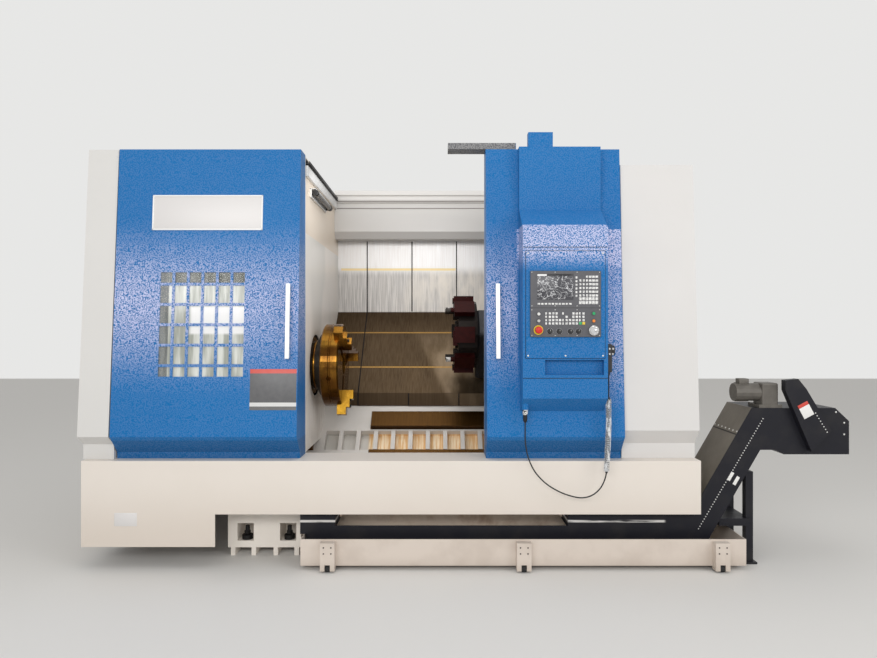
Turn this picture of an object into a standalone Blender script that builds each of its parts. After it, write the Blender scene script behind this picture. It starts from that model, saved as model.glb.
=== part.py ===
"""CNC turning lathe with a 45 degree slant bed, in metres, +Z up.

The front of the machine faces -Y, the spindle points along +X, and the origin lies on the floor
under the middle of the machine. The depth of a piece is given as its setback behind the front
sheet of the base, and its place along the machine from the left end or from the doorway's edges.
Inside, slope_point gives places on the slanted bed: along counts up the slope from the spindle's
axis, and above counts square to it, towards the operator.
"""
import math

import bmesh
import bpy
from mathutils import Matrix, Vector

# Driving dimensions of the whole machine
OVERALL_LENGTH = 4.64
OVERALL_DEPTH = 2.1
ENCLOSURE_LENGTH = 3.708
ENCLOSURE_HEIGHT = 2.53
BASE_TOP = 0.644
SPINDLE_HEIGHT = 1.181
SPINDLE_SETBACK = 0.63
HEAD_BAY = 1.303
DOORWAY_WIDTH = 1.131
RIGHT_DOOR_WIDTH = 0.818
PILLAR_WIDTH = 0.185

# Sheet metal and clearances
SHEET = 0.004
SEAT_GAP = 0.0003
RUNNING_GAP = 0.008
OVERRUN = 0.05

# Reach of the console and its controls in front of the base sheet
CONSOLE_REACH = 0.125
COVER_PLATE_THICKNESS = 0.004
PANEL_THICKNESS = 0.012
HANDWHEEL_REACH = 0.04

# Bed and way covers, measured from the spindle's axis square to the slope
BED_DROP = 0.503
WAY_COVER_DROP = 0.424
SLOPE = math.radians(45)

FRONT_Y = (
    -OVERALL_DEPTH / 2 + CONSOLE_REACH + COVER_PLATE_THICKNESS + PANEL_THICKNESS + HANDWHEEL_REACH
)
BACK_Y = OVERALL_DEPTH / 2
LEFT_X = -OVERALL_LENGTH / 2
RIGHT_X = LEFT_X + ENCLOSURE_LENGTH
DOORWAY_LEFT = LEFT_X + HEAD_BAY
DOORWAY_RIGHT = DOORWAY_LEFT + DOORWAY_WIDTH
CABINET_LEFT = DOORWAY_RIGHT + RIGHT_DOOR_WIDTH + RUNNING_GAP
SPINDLE_Y = FRONT_Y + SPINDLE_SETBACK

PARTS = bpy.data.collections.new("cnc_turning_lathe")
ROUND_STEPS = 36
SMALL_STEPS = 16
FINE_STEPS = 48
COARSE_STEPS = 12
FACING_SHARE = 0.9
BEVEL_ANGLE = 40
SHARP_ANGLE = 35


def clear_scene():
    """Remove the objects that the scene starts with."""
    for thing in list(bpy.data.objects):
        bpy.data.objects.remove(thing, do_unlink=True)
    bpy.context.scene.collection.children.link(PARTS)


def add_mesh(name, mesh):
    """Put a mesh into the scene as an object of the part."""
    thing = bpy.data.objects.new(name, mesh)
    PARTS.objects.link(thing)
    return thing


def settled(thing):
    """Replace an object by the mesh that its curve or modifiers give."""
    bpy.context.view_layer.update()
    graph = bpy.context.evaluated_depsgraph_get()
    mesh = bpy.data.meshes.new_from_object(thing.evaluated_get(graph))
    mesh.transform(thing.matrix_world)
    work = bmesh.new()
    work.from_mesh(mesh)
    bmesh.ops.remove_doubles(work, verts=work.verts, dist=1e-6)
    work.to_mesh(mesh)
    work.free()
    name = thing.name
    bpy.data.objects.remove(thing, do_unlink=True)
    return add_mesh(name, mesh)


def block(name, low, high):
    """A box between two corners."""
    work = bmesh.new()
    bmesh.ops.create_cube(work, size=1)
    size = Vector(high) - Vector(low)
    middle = (Vector(high) + Vector(low)) / 2
    bmesh.ops.scale(work, vec=size, verts=work.verts)
    bmesh.ops.translate(work, vec=middle, verts=work.verts)
    mesh = bpy.data.meshes.new(name)
    work.to_mesh(mesh)
    work.free()
    return add_mesh(name, mesh)


def prism(name, outline, axis, start, end):
    """A flat outline drawn across the axis X, Y or Z and extruded along it."""
    curve = bpy.data.curves.new(name, "CURVE")
    curve.dimensions = "2D"
    curve.fill_mode = "BOTH"
    curve.extrude = abs(end - start) / 2
    spline = curve.splines.new("POLY")
    spline.points.add(len(outline) - 1)
    for point, place in zip(spline.points, outline):
        point.co = (place[0], place[1], 0, 1)
    spline.use_cyclic_u = True
    thing = bpy.data.objects.new(name, curve)
    PARTS.objects.link(thing)
    middle = (start + end) / 2
    if axis == "X":
        columns = ((0, 1, 0), (0, 0, 1), (1, 0, 0))
        thing.location = (middle, 0, 0)
    elif axis == "Y":
        columns = ((1, 0, 0), (0, 0, 1), (0, -1, 0))
        thing.location = (0, middle, 0)
    else:
        columns = ((1, 0, 0), (0, 1, 0), (0, 0, 1))
        thing.location = (0, 0, middle)
    thing.rotation_euler = Matrix(columns).transposed().to_euler()
    return settled(thing)


def turned(name, profile, centre, along=(1, 0, 0), steps=ROUND_STEPS, closed=False):
    """A turned shape. The profile lists radius and place along the axis, from the far end to the
    near end down its outer side, and a closed profile comes back up the bore.
    """
    mesh = bpy.data.meshes.new(name)
    work = bmesh.new()
    corners = [work.verts.new((radius, 0, height)) for radius, height in profile]
    for first, second in zip(corners, corners[1:]):
        work.edges.new((first, second))
    if closed:
        work.edges.new((corners[-1], corners[0]))
    work.to_mesh(mesh)
    work.free()
    thing = add_mesh(name, mesh)
    screw = thing.modifiers.new("turn", "SCREW")
    screw.axis = "Z"
    screw.angle = math.tau
    screw.steps = steps
    screw.render_steps = steps
    screw.use_merge_vertices = True
    screw.merge_threshold = 1e-5
    thing.rotation_euler = Vector((0, 0, 1)).rotation_difference(Vector(along)).to_euler()
    thing.location = centre
    return settled(thing)


def rod(name, start, end, radius, steps=SMALL_STEPS):
    """A plain round bar between two points."""
    axis = Vector(end) - Vector(start)
    profile = [(0, axis.length), (radius, axis.length), (radius, 0), (0, 0)]
    return turned(name, profile, start, axis.normalized(), steps)


def tube_along(name, points, radius, resolution=2):
    """A round bar that follows a line of points."""
    curve = bpy.data.curves.new(name, "CURVE")
    curve.dimensions = "3D"
    curve.bevel_depth = radius
    curve.bevel_resolution = resolution
    curve.use_fill_caps = True
    spline = curve.splines.new("POLY")
    spline.points.add(len(points) - 1)
    for point, place in zip(spline.points, points):
        point.co = (*place, 1)
    thing = bpy.data.objects.new(name, curve)
    PARTS.objects.link(thing)
    return thing


def shell(name, low, high, open_sides, thickness):
    """A box of sheet with some sides left out, such as "-Z" for the bottom."""
    thing = block(name, low, high)
    work = bmesh.new()
    work.from_mesh(thing.data)
    directions = {"-X": (-1, 0, 0), "+X": (1, 0, 0), "-Y": (0, -1, 0), "+Y": (0, 1, 0),
                  "-Z": (0, 0, -1), "+Z": (0, 0, 1)}
    work.normal_update()
    opened = []
    for side in open_sides:
        outward = Vector(directions[side])
        opened += [face for face in work.faces if face.normal.dot(outward) > FACING_SHARE]
    bmesh.ops.delete(work, geom=opened, context="FACES")
    work.to_mesh(thing.data)
    work.free()
    wall = thing.modifiers.new("sheet", "SOLIDIFY")
    wall.thickness = thickness
    wall.offset = -1
    wall.use_even_offset = True
    return settled(thing)


def combine(target, tools, operation):
    """Join the tools to the target, or cut them out of it, and remove them."""
    for tool in tools:
        change = target.modifiers.new(operation.lower(), "BOOLEAN")
        change.operation = operation
        change.object = tool
        target = settled(target)
        bpy.data.objects.remove(tool, do_unlink=True)
    return target


def join(target, *tools):
    return combine(target, tools, "UNION")


def cut(target, *tools):
    return combine(target, tools, "DIFFERENCE")


def cutter_group(name, cutters):
    """Many separate cutters as one object, so that one cut serves them all."""
    work = bmesh.new()
    for cutter in cutters:
        work.from_mesh(cutter.data)
        bpy.data.objects.remove(cutter, do_unlink=True)
    mesh = bpy.data.meshes.new(name)
    work.to_mesh(mesh)
    work.free()
    return add_mesh(name, mesh)


def placed(thing, matrix):
    """Move an object's mesh, and leave its origin where it is."""
    thing.data.transform(matrix)
    return thing


def rounded(thing, width, segments=2):
    """Round the edges of a piece."""
    bevel = thing.modifiers.new("rounding", "BEVEL")
    bevel.width = width
    bevel.segments = segments
    bevel.limit_method = "ANGLE"
    bevel.angle_limit = math.radians(BEVEL_ANGLE)
    return settled(thing)


def finish(thing, name, colour, roughness, metallic, pivot=None, smooth=False):
    """Name a piece, give it its material and put its origin on its joint's axis."""
    thing.name = name
    thing.data.name = name
    material = bpy.data.materials.new(name)
    material.use_nodes = True
    shader = material.node_tree.nodes["Principled BSDF"]
    shader.inputs["Base Color"].default_value = (*colour, 1)
    shader.inputs["Roughness"].default_value = roughness
    shader.inputs["Metallic"].default_value = metallic
    material.diffuse_color = (*colour, 1)
    thing.data.materials.clear()
    thing.data.materials.append(material)
    if pivot is not None and thing.type == "MESH":
        thing.data.transform(Matrix.Translation(-Vector(pivot)))
        thing.location = pivot
    if smooth:
        thing.data.shade_smooth()
        thing.data.set_sharp_from_angle(angle=math.radians(SHARP_ANGLE))
    return thing


def slope_point(along, above):
    """The Y and Z of a place given on the slanted bed."""
    y = SPINDLE_Y + along * math.cos(SLOPE) - above * math.sin(SLOPE)
    z = SPINDLE_HEIGHT + along * math.sin(SLOPE) + above * math.cos(SLOPE)
    return y, z


def bed_height(y):
    """The height of the bed's slanted face at a place in its depth."""
    return SPINDLE_HEIGHT + (y - SPINDLE_Y) * math.tan(SLOPE) - BED_DROP / math.cos(SLOPE)


def slope_outline(places):
    return [slope_point(along, above) for along, above in places]


def slope_block(name, x_range, along_range, above_range):
    """A box that lies square to the slanted bed."""
    along_low, along_high = along_range
    above_low, above_high = above_range
    corners = [(along_low, above_low), (along_high, above_low),
               (along_high, above_high), (along_low, above_high)]
    return prism(name, slope_outline(corners), "X", x_range[0], x_range[1])


# Paint and metal colours
BLUE = (0.012, 0.16, 0.48)
OFF_WHITE = (0.75, 0.7, 0.63)
PILLAR_WHITE = (0.75, 0.75, 0.73)
CHARCOAL = (0.02, 0.02, 0.025)
BLACK = (0.012, 0.012, 0.013)
STEEL = (0.55, 0.54, 0.52)
OILED_GOLD = (0.6, 0.4, 0.12)
CASTING = (0.62, 0.58, 0.5)
PANEL_GREY = (0.09, 0.09, 0.1)

# Slanted bed casting with its four guideways
BED_INSET = 0.814
BED_LENGTH = 2.786
BED_TOE_SETBACK = 0.6
BED_TOP_ALONG = 0.93
BED_BACK_SETBACK = 1.8
BED_UNDERSIDE = 0.05
TAIL_WAY_HEIGHT = 0.035
TAIL_WAYS_ALONG = ((-0.446, -0.375), (-0.17, -0.064))
CARRIAGE_WAY_HEIGHT = 0.048
CARRIAGE_WAYS_ALONG = ((0.17, 0.27), (0.81, 0.91))
TAIL_WAY_START = 0.352
HEAD_FOOT_LENGTH = 0.462
HEAD_FOOT_SETBACK = 0.24
HEAD_FOOT_TOP = 0.34
POCKET_WIDTH = 0.103
POCKET_HEIGHT = 0.111
POCKET_SILL = 0.092
POCKET_DEPTH = 0.16
POCKET_INSETS = (0.06, 0.329)
RIB_WIDTH = 0.028
RIB_INSETS = (0.032, 0.163, 0.302, 0.434)
RIB_DEPTH = 0.22
SLOPE_POCKET_ALONG = (-0.355, -0.19)
SLOPE_POCKET_DEPTH = 0.06
SLOPE_POCKET_PITCH = 0.125
SLOPE_RIB_WIDTH = 0.03
REAR_FOOT_LENGTH = 0.12
REAR_FOOT_SPACING = 0.85
JACK_RADIUS = 0.012
JACK_SETBACK = 0.045
SCREW_RADIUS = 0.02
SCREW_ALONG = 0.54
SCREW_BLOCK_WIDTH = 0.09
SCREW_BLOCK_LENGTH = 0.06
BED_LEFT = LEFT_X + BED_INSET
BED_RIGHT = BED_LEFT + BED_LENGTH
SCREW_ABOVE = -BED_DROP + CARRIAGE_WAY_HEIGHT - SCREW_RADIUS


def bed_section(clearance=0):
    """The bed's outline across the machine, grown by a clearance."""
    toe_y = FRONT_Y + BED_TOE_SETBACK
    top_y, top_z = slope_point(BED_TOP_ALONG, -BED_DROP)
    toe_z = top_z - (top_y - toe_y)
    back_y = FRONT_Y + BED_BACK_SETBACK
    return [(toe_y - clearance, BED_UNDERSIDE - clearance), (back_y + clearance, BED_UNDERSIDE - clearance),
            (back_y + clearance, top_z + clearance), (top_y - clearance, top_z + clearance),
            (toe_y - clearance, toe_z + clearance)]


def bed_casting():
    bed = prism("bed", bed_section(), "X", BED_LEFT, BED_RIGHT)
    foot_front = FRONT_Y + HEAD_FOOT_SETBACK
    foot_back = FRONT_Y + BED_TOE_SETBACK + OVERRUN
    foot = block("foot", (BED_LEFT, foot_front, BED_UNDERSIDE),
                 (BED_LEFT + HEAD_FOOT_LENGTH, foot_back, HEAD_FOOT_TOP))
    bed = join(bed, foot)
    for along_range in TAIL_WAYS_ALONG:
        way = slope_block("tail_way", (DOORWAY_LEFT + TAIL_WAY_START, BED_RIGHT), along_range,
                          (-BED_DROP - OVERRUN, -BED_DROP + TAIL_WAY_HEIGHT))
        bed = join(bed, way)
    for along_range in CARRIAGE_WAYS_ALONG:
        way = slope_block("carriage_way", (DOORWAY_LEFT, BED_RIGHT), along_range,
                          (-BED_DROP - OVERRUN, -BED_DROP + CARRIAGE_WAY_HEIGHT))
        bed = join(bed, way)
    for inset in RIB_INSETS:
        rib = block("rib", (BED_LEFT + inset - RIB_WIDTH / 2, foot_front, 0),
                    (BED_LEFT + inset + RIB_WIDTH / 2, foot_front + RIB_DEPTH, BED_UNDERSIDE + RIB_WIDTH))
        bed = join(bed, rib)
    foot_x = BED_LEFT + RIB_WIDTH
    while foot_x < BED_RIGHT:
        pad = block("pad", (foot_x, FRONT_Y + BED_TOE_SETBACK + RIB_WIDTH, 0),
                    (foot_x + REAR_FOOT_LENGTH, FRONT_Y + BED_BACK_SETBACK - RIB_WIDTH,
                     BED_UNDERSIDE + RIB_WIDTH))
        bed = join(bed, pad)
        foot_x += REAR_FOOT_SPACING
    cutters = []
    for inset in POCKET_INSETS:
        cutters.append(block("pocket", (BED_LEFT + inset, foot_front - OVERRUN, POCKET_SILL),
                             (BED_LEFT + inset + POCKET_WIDTH, foot_front + POCKET_DEPTH,
                              POCKET_SILL + POCKET_HEIGHT)))
    pocket_x = DOORWAY_LEFT + SLOPE_RIB_WIDTH
    while pocket_x + SLOPE_POCKET_PITCH < BED_RIGHT:
        cutters.append(slope_block("pocket", (pocket_x, pocket_x + SLOPE_POCKET_PITCH - SLOPE_RIB_WIDTH),
                                   SLOPE_POCKET_ALONG,
                                   (-BED_DROP - SLOPE_POCKET_DEPTH, -BED_DROP + OVERRUN)))
        pocket_x += SLOPE_POCKET_PITCH
    bed = cut(bed, cutter_group("pockets", cutters))
    block_half = SCREW_BLOCK_WIDTH / 2
    for start_x in (DOORWAY_LEFT, BED_RIGHT - SCREW_BLOCK_LENGTH):
        bearing = slope_block("bearing", (start_x, start_x + SCREW_BLOCK_LENGTH),
                              (SCREW_ALONG - block_half, SCREW_ALONG + block_half),
                              (-BED_DROP - OVERRUN, -BED_DROP + CARRIAGE_WAY_HEIGHT))
        bed = join(bed, bearing)
    screw_y, screw_z = slope_point(SCREW_ALONG, SCREW_ABOVE)
    bore = rod("bore", (DOORWAY_LEFT - OVERRUN, screw_y, screw_z), (BED_RIGHT + OVERRUN, screw_y, screw_z),
               SCREW_RADIUS + 2 * SEAT_GAP)
    bed = cut(bed, bore)
    for inset in POCKET_INSETS:
        jack_x = BED_LEFT + inset + POCKET_WIDTH / 2
        jack_y = foot_front + JACK_SETBACK
        hole = rod("hole", (jack_x, jack_y, -OVERRUN), (jack_x, jack_y, POCKET_SILL + OVERRUN), JACK_RADIUS)
        bed = cut(bed, hole)
    finish(bed, "bed_casting", CASTING, 0.5, 0.1)


# Base cover of folded sheet
BASE_INSET = 0.017
SKIRT_LENGTH = 0.797
SKIRT_BOTTOM = 0.132
BASE_EDGE = 0.326
BASE_RETURN = 0.03
LEDGE_DEPTH = 0.262
CONVEYOR_NOTCH_TOP = 0.53


def base_cover():
    left = LEFT_X + BASE_INSET
    skirt_right = left + SKIRT_LENGTH
    back = BACK_Y - SHEET
    cover = shell("cover", (left, FRONT_Y, SKIRT_BOTTOM), (RIGHT_X, back, BASE_TOP), ("-Z",), SHEET)
    top_opening = block("opening", (left + BASE_RETURN, FRONT_Y + LEDGE_DEPTH, BASE_TOP - OVERRUN / 2),
                        (RIGHT_X - BASE_RETURN, back - BASE_RETURN, BASE_TOP + OVERRUN))
    front_notch = block("notch", (skirt_right, FRONT_Y - OVERRUN, 0),
                        (RIGHT_X + OVERRUN, FRONT_Y + OVERRUN, BASE_EDGE))
    tank_notch = block("notch", (RIGHT_X - OVERRUN, FRONT_Y - OVERRUN, 0),
                       (RIGHT_X + OVERRUN, TANK_BACK + BRACKET_DEPTH + RUNNING_GAP, BASE_EDGE))
    conveyor_notch = block("notch", (RIGHT_X - OVERRUN, conveyor_front() - RUNNING_GAP, 0),
                           (RIGHT_X + OVERRUN, conveyor_back() + RUNNING_GAP, CONVEYOR_NOTCH_TOP))
    cover = cut(cover, top_opening, front_notch, tank_notch, conveyor_notch)
    finish(cover, "base_cover", OFF_WHITE, 0.45, 0)


# Leaning fronts of the doors and cabinets, as setbacks behind the base sheet
INNER_SETBACK = 0.262
DOOR_BACK_SETBACK = 0.25
LEAN_TOP_SETBACK = 0.11
LEAN_TOE_SETBACK = -0.015
TOE_HEIGHT = 0.145
STRIP_HEIGHT = 0.0385
STRIP_SETBACK = 0.08
PILLAR_TOP_SETBACK = 0.12
PILLAR_STRIP_SETBACK = 0.055
PILLAR_STRIP_HEIGHT = 0.09
CABINET_TOP = 2.437
CABINET_TOE_SETBACK = 0.015
CABINET_TOE_HEIGHT = 0.179
CABINET_STRIP_SETBACK = 0.09
CABINET_STRIP_HEIGHT = 0.091
RECESS_PANEL_WIDTH = 0.394
WALL_INSET = 0.008
NOSE_HOLE_RADIUS = 0.21


def leaning_outline(top, top_setback, toe_height, toe_setback, strip_height, strip_setback, back_setback):
    """The side outline of a leaning front: a slope, an undercut and a strip on the base."""
    bottom = BASE_TOP + SEAT_GAP
    return [(FRONT_Y + strip_setback, bottom), (FRONT_Y + back_setback, bottom),
            (FRONT_Y + back_setback, top),
            (FRONT_Y + top_setback, top), (FRONT_Y + toe_setback, BASE_TOP + toe_height),
            (FRONT_Y + strip_setback, BASE_TOP + strip_height)]


def left_cabinet():
    bottom = BASE_TOP + SEAT_GAP
    cabinet = shell("cabinet", (LEFT_X, FRONT_Y + INNER_SETBACK, bottom),
                    (DOORWAY_LEFT - WALL_INSET, BACK_Y, ENCLOSURE_HEIGHT), ("-Z",), SHEET)
    outline = leaning_outline(ENCLOSURE_HEIGHT, PILLAR_TOP_SETBACK, TOE_HEIGHT, LEAN_TOE_SETBACK,
                              PILLAR_STRIP_HEIGHT, PILLAR_STRIP_SETBACK, INNER_SETBACK + SHEET / 2)
    pillar = prism("pillar", outline, "X", LEFT_X, LEFT_X + PILLAR_WIDTH)
    cabinet = join(cabinet, pillar)
    wall_x = DOORWAY_LEFT - WALL_INSET
    bed_room = prism("bed_room", bed_section(SEAT_GAP), "X", wall_x - OVERRUN, wall_x + OVERRUN)
    nose_room = rod("nose_room", (wall_x - OVERRUN, SPINDLE_Y, SPINDLE_HEIGHT),
                    (wall_x + OVERRUN, SPINDLE_Y, SPINDLE_HEIGHT), NOSE_HOLE_RADIUS, ROUND_STEPS)
    finish(cut(cabinet, bed_room, nose_room), "left_cabinet", PILLAR_WHITE, 0.45, 0)


def right_cabinet():
    bottom = BASE_TOP + SEAT_GAP
    back_of_front = FRONT_Y + INNER_SETBACK
    cabinet = shell("cabinet", (CABINET_LEFT + SHEET, back_of_front, bottom + SHEET),
                    (RIGHT_X, BACK_Y, CABINET_TOP - SHEET), ("-Z", "-X"), SHEET)
    outline = leaning_outline(CABINET_TOP, PILLAR_TOP_SETBACK, CABINET_TOE_HEIGHT, CABINET_TOE_SETBACK,
                              CABINET_STRIP_HEIGHT, CABINET_STRIP_SETBACK, INNER_SETBACK + SHEET / 2)
    front = prism("front", outline, "X", CABINET_LEFT, RIGHT_X - SHEET / 2)
    recess = block("recess", (CABINET_LEFT - RECESS_PANEL_WIDTH, back_of_front - SHEET, bottom + SHEET),
                   (CABINET_LEFT + SHEET, back_of_front, CABINET_TOP - SHEET))
    finish(join(cabinet, front, recess), "right_cabinet", OFF_WHITE, 0.45, 0)


# Rear wall with the beam over the way covers
BEAM_SETBACK = 1.44
BEAM_TOP = 2.56
BEAM_BACK_SETBACK = 1.58
BEAM_FLANGE = 0.035
BEAM_CHANNEL_DEPTH = 0.015
BEAM_BAND_TOP = 2.405
BEAM_BAND_BOTTOM = 2.226
BEAM_BOTTOM = 2.17
BEAM_BEVEL_DEPTH = 0.04
CHANNEL_CHAMFER = 0.009


def rear_enclosure():
    face = FRONT_Y + BEAM_SETBACK
    channel = face + BEAM_CHANNEL_DEPTH
    inner = FRONT_Y + BEAM_BACK_SETBACK
    wall = BACK_Y - SHEET
    middle_of_channel = (BEAM_TOP - BEAM_FLANGE + BEAM_BAND_TOP) / 2
    outline = [(face, BEAM_TOP), (face, BEAM_TOP - BEAM_FLANGE),
               (channel, BEAM_TOP - BEAM_FLANGE - CHANNEL_CHAMFER),
               (channel, middle_of_channel + CHANNEL_CHAMFER),
               (face, middle_of_channel), (channel, middle_of_channel - CHANNEL_CHAMFER),
               (channel, BEAM_BAND_TOP + CHANNEL_CHAMFER), (face, BEAM_BAND_TOP), (face, BEAM_BAND_BOTTOM),
               (face + BEAM_BEVEL_DEPTH, BEAM_BOTTOM), (inner, BEAM_BOTTOM), (inner, BEAM_TOP - SHEET),
               (wall, BEAM_TOP - SHEET), (wall, BASE_TOP + SEAT_GAP), (BACK_Y, BASE_TOP + SEAT_GAP),
               (BACK_Y, BEAM_TOP)]
    rear = prism("rear", outline[::-1], "X", DOORWAY_LEFT - WALL_INSET + SEAT_GAP, CABINET_LEFT - SEAT_GAP)
    finish(rear, "rear_enclosure", OFF_WHITE, 0.45, 0)


# Headstock, spindle and belt drive, with places along X from the doorway's left edge
HEADSTOCK_LENGTH = 0.4
HEADSTOCK_RADIUS = 0.25
HEADSTOCK_FOOT_ALONG = (-0.36, 0.42)
NOSE_FLANGE_RADIUS = 0.195
NOSE_FLANGE_LENGTH = 0.029
NOSE_FLANGE_FACE = -0.015
JOURNAL_RADIUS = 0.1
SPINDLE_BORE = 0.065
SPINDLE_NOSE_RADIUS = 0.165
SPINDLE_NOSE_LENGTH = 0.05
BACKPLATE_RADIUS = 0.21
CHUCK_START = 0.066
CHUCK_THICKNESS = 0.12
CHUCK_RADIUS = 0.2825
CHUCK_CHAMFER = 0.008
CHUCK_GROOVE = 0.004
JAW_WIDTH = 0.06
JAW_SLOT_DEPTH = 0.031
JAW_INNER = 0.18
JAW_OUTER = 0.345
JAW_STEP_SHARES = ((0.39, 1), (0.7, 0.7), (1, 0.36))
JAW_HEIGHT = 0.076
JAW_ANGLES = (45, 165, 285)
SOCKET_RADIUS = 0.016
SOCKET_DEPTH = 0.04
SLOT_INNER = 0.075
PULLEY_START = -0.82
PULLEY_WIDTH = 0.1
SPINDLE_PULLEY_RADIUS = 0.17
MOTOR_PULLEY_RADIUS = 0.1
PULLEY_RIM = 0.01
BELT_THICKNESS = 0.01
BELT_ARC_STEPS = 20
MOTOR_SETBACK = 1.2
MOTOR_HEIGHT = 0.56
MOTOR_RADIUS = 0.17
MOTOR_LENGTH = 0.22
MOTOR_SHAFT_RADIUS = 0.03


def at_spindle(x):
    return (x, SPINDLE_Y, SPINDLE_HEIGHT)


def headstock():
    nose_x = DOORWAY_LEFT + NOSE_FLANGE_FACE
    face_x = nose_x - NOSE_FLANGE_LENGTH
    back_x = face_x - HEADSTOCK_LENGTH
    seat = -BED_DROP + SEAT_GAP
    low, high = HEADSTOCK_FOOT_ALONG
    outline = [(low, seat), (high, seat), (high, seat + RIB_WIDTH),
               (HEADSTOCK_RADIUS, -HEADSTOCK_RADIUS / 2),
               (-HEADSTOCK_RADIUS, -HEADSTOCK_RADIUS / 2), (low, seat + RIB_WIDTH)]
    foot = prism("foot", slope_outline(outline), "X", back_x, face_x)
    barrel = rod("barrel", at_spindle(back_x), at_spindle(face_x), HEADSTOCK_RADIUS, ROUND_STEPS)
    flange = rod("flange", at_spindle(face_x - OVERRUN), at_spindle(nose_x), NOSE_FLANGE_RADIUS,
                 ROUND_STEPS)
    bore = rod("bore", at_spindle(back_x - OVERRUN), at_spindle(nose_x + OVERRUN),
               JOURNAL_RADIUS + 2 * SEAT_GAP, ROUND_STEPS)
    casting = cut(join(foot, barrel, flange), bore)
    finish(casting, "headstock", OILED_GOLD, 0.35, 0.7, smooth=True)


def pulley_profile(radius, hub_radius, width):
    """A flat pulley with two rims, from its far face to its near face and back up its bore."""
    rim = radius + PULLEY_RIM
    return [(hub_radius, width), (rim, width), (rim, width - PULLEY_RIM), (radius, width - PULLEY_RIM),
            (radius, PULLEY_RIM), (rim, PULLEY_RIM), (rim, 0), (hub_radius, 0)]


def spindle():
    """The hollow spindle with its nose, and the pulley on its rear end."""
    nose_back = DOORWAY_LEFT + NOSE_FLANGE_FACE + SEAT_GAP
    plate_back = nose_back + SPINDLE_NOSE_LENGTH
    front = DOORWAY_LEFT + CHUCK_START - SEAT_GAP
    rear = DOORWAY_LEFT + PULLEY_START
    rim = SPINDLE_PULLEY_RADIUS + PULLEY_RIM
    width = PULLEY_WIDTH
    profile = [(SPINDLE_BORE, front), (BACKPLATE_RADIUS, front), (BACKPLATE_RADIUS, plate_back),
               (SPINDLE_NOSE_RADIUS, plate_back), (SPINDLE_NOSE_RADIUS, nose_back),
               (JOURNAL_RADIUS, nose_back),
               (JOURNAL_RADIUS, rear + width), (rim, rear + width), (rim, rear + width - PULLEY_RIM),
               (SPINDLE_PULLEY_RADIUS, rear + width - PULLEY_RIM),
               (SPINDLE_PULLEY_RADIUS, rear + PULLEY_RIM),
               (rim, rear + PULLEY_RIM), (rim, rear), (SPINDLE_BORE, rear)]
    shaft = turned("shaft", profile, at_spindle(0), closed=True)
    finish(shaft, "spindle", CHARCOAL, 0.35, 0.8, pivot=at_spindle(front), smooth=True)


def chuck_face():
    return DOORWAY_LEFT + CHUCK_START + CHUCK_THICKNESS


def turn_about_spindle(angle):
    """Turn a piece drawn straight above the spindle to an angle counted up from the front."""
    centre = Matrix.Translation(at_spindle(0))
    return centre @ Matrix.Rotation(math.radians(90 - angle), 4, "X") @ centre.inverted()


def chuck_body():
    front = chuck_face()
    back = DOORWAY_LEFT + CHUCK_START
    middle = (front + back) / 2
    groove = CHUCK_RADIUS - CHUCK_GROOVE
    profile = [(SPINDLE_BORE, front), (CHUCK_RADIUS - CHUCK_CHAMFER, front),
               (CHUCK_RADIUS, front - CHUCK_CHAMFER),
               (CHUCK_RADIUS, middle + CHUCK_CHAMFER), (groove, middle + CHUCK_CHAMFER / 2),
               (groove, middle - CHUCK_CHAMFER / 2), (CHUCK_RADIUS, middle - CHUCK_CHAMFER),
               (CHUCK_RADIUS, back + CHUCK_CHAMFER), (CHUCK_RADIUS - CHUCK_CHAMFER, back),
               (SPINDLE_BORE, back)]
    body = turned("body", profile, at_spindle(0), steps=FINE_STEPS, closed=True)
    cutters = []
    half_pitch = (JAW_ANGLES[0] - JAW_ANGLES[1]) / 2
    slot_half = JAW_WIDTH / 2 + SEAT_GAP
    for angle in JAW_ANGLES:
        slot = block("slot", (front - JAW_SLOT_DEPTH - SEAT_GAP, SPINDLE_Y - slot_half,
                              SPINDLE_HEIGHT + SLOT_INNER),
                     (front + OVERRUN, SPINDLE_Y + slot_half, SPINDLE_HEIGHT + CHUCK_RADIUS + OVERRUN))
        cutters.append(placed(slot, turn_about_spindle(angle)))
        socket_top = SPINDLE_HEIGHT + CHUCK_RADIUS
        socket = rod("socket", (middle, SPINDLE_Y, socket_top - SOCKET_DEPTH),
                     (middle, SPINDLE_Y, socket_top + OVERRUN), SOCKET_RADIUS, COARSE_STEPS)
        cutters.append(placed(socket, turn_about_spindle(angle + half_pitch)))
    finish(cut(body, cutter_group("slots", cutters)), "chuck_body", OILED_GOLD, 0.25, 0.9,
           pivot=at_spindle(front), smooth=True)


def chuck_jaws():
    """Three stepped jaws whose roots slide in the chuck's radial slots."""
    face = chuck_face()
    reach = JAW_OUTER - JAW_INNER
    outline = [(face - JAW_SLOT_DEPTH, JAW_INNER), (face - JAW_SLOT_DEPTH, JAW_OUTER)]
    step_start = None
    for height_share, reach_share in JAW_STEP_SHARES:
        radius = JAW_INNER + reach * reach_share
        if step_start is not None:
            outline.append((step_start, radius))
        step_start = face + JAW_HEIGHT * height_share
        outline.append((step_start, radius))
    outline.append((step_start, JAW_INNER))
    outline = [(x, SPINDLE_HEIGHT + radius) for x, radius in outline]
    for number, angle in enumerate(JAW_ANGLES, 1):
        jaw = prism("jaw", outline, "Y", SPINDLE_Y - JAW_WIDTH / 2, SPINDLE_Y + JAW_WIDTH / 2)
        jaw = placed(jaw, turn_about_spindle(angle))
        centre = turn_about_spindle(angle) @ Vector((face, SPINDLE_Y,
                                                     SPINDLE_HEIGHT + JAW_INNER + reach / 2))
        finish(jaw, f"chuck_jaw_{number}", OILED_GOLD, 0.3, 0.9, pivot=centre)


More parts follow.
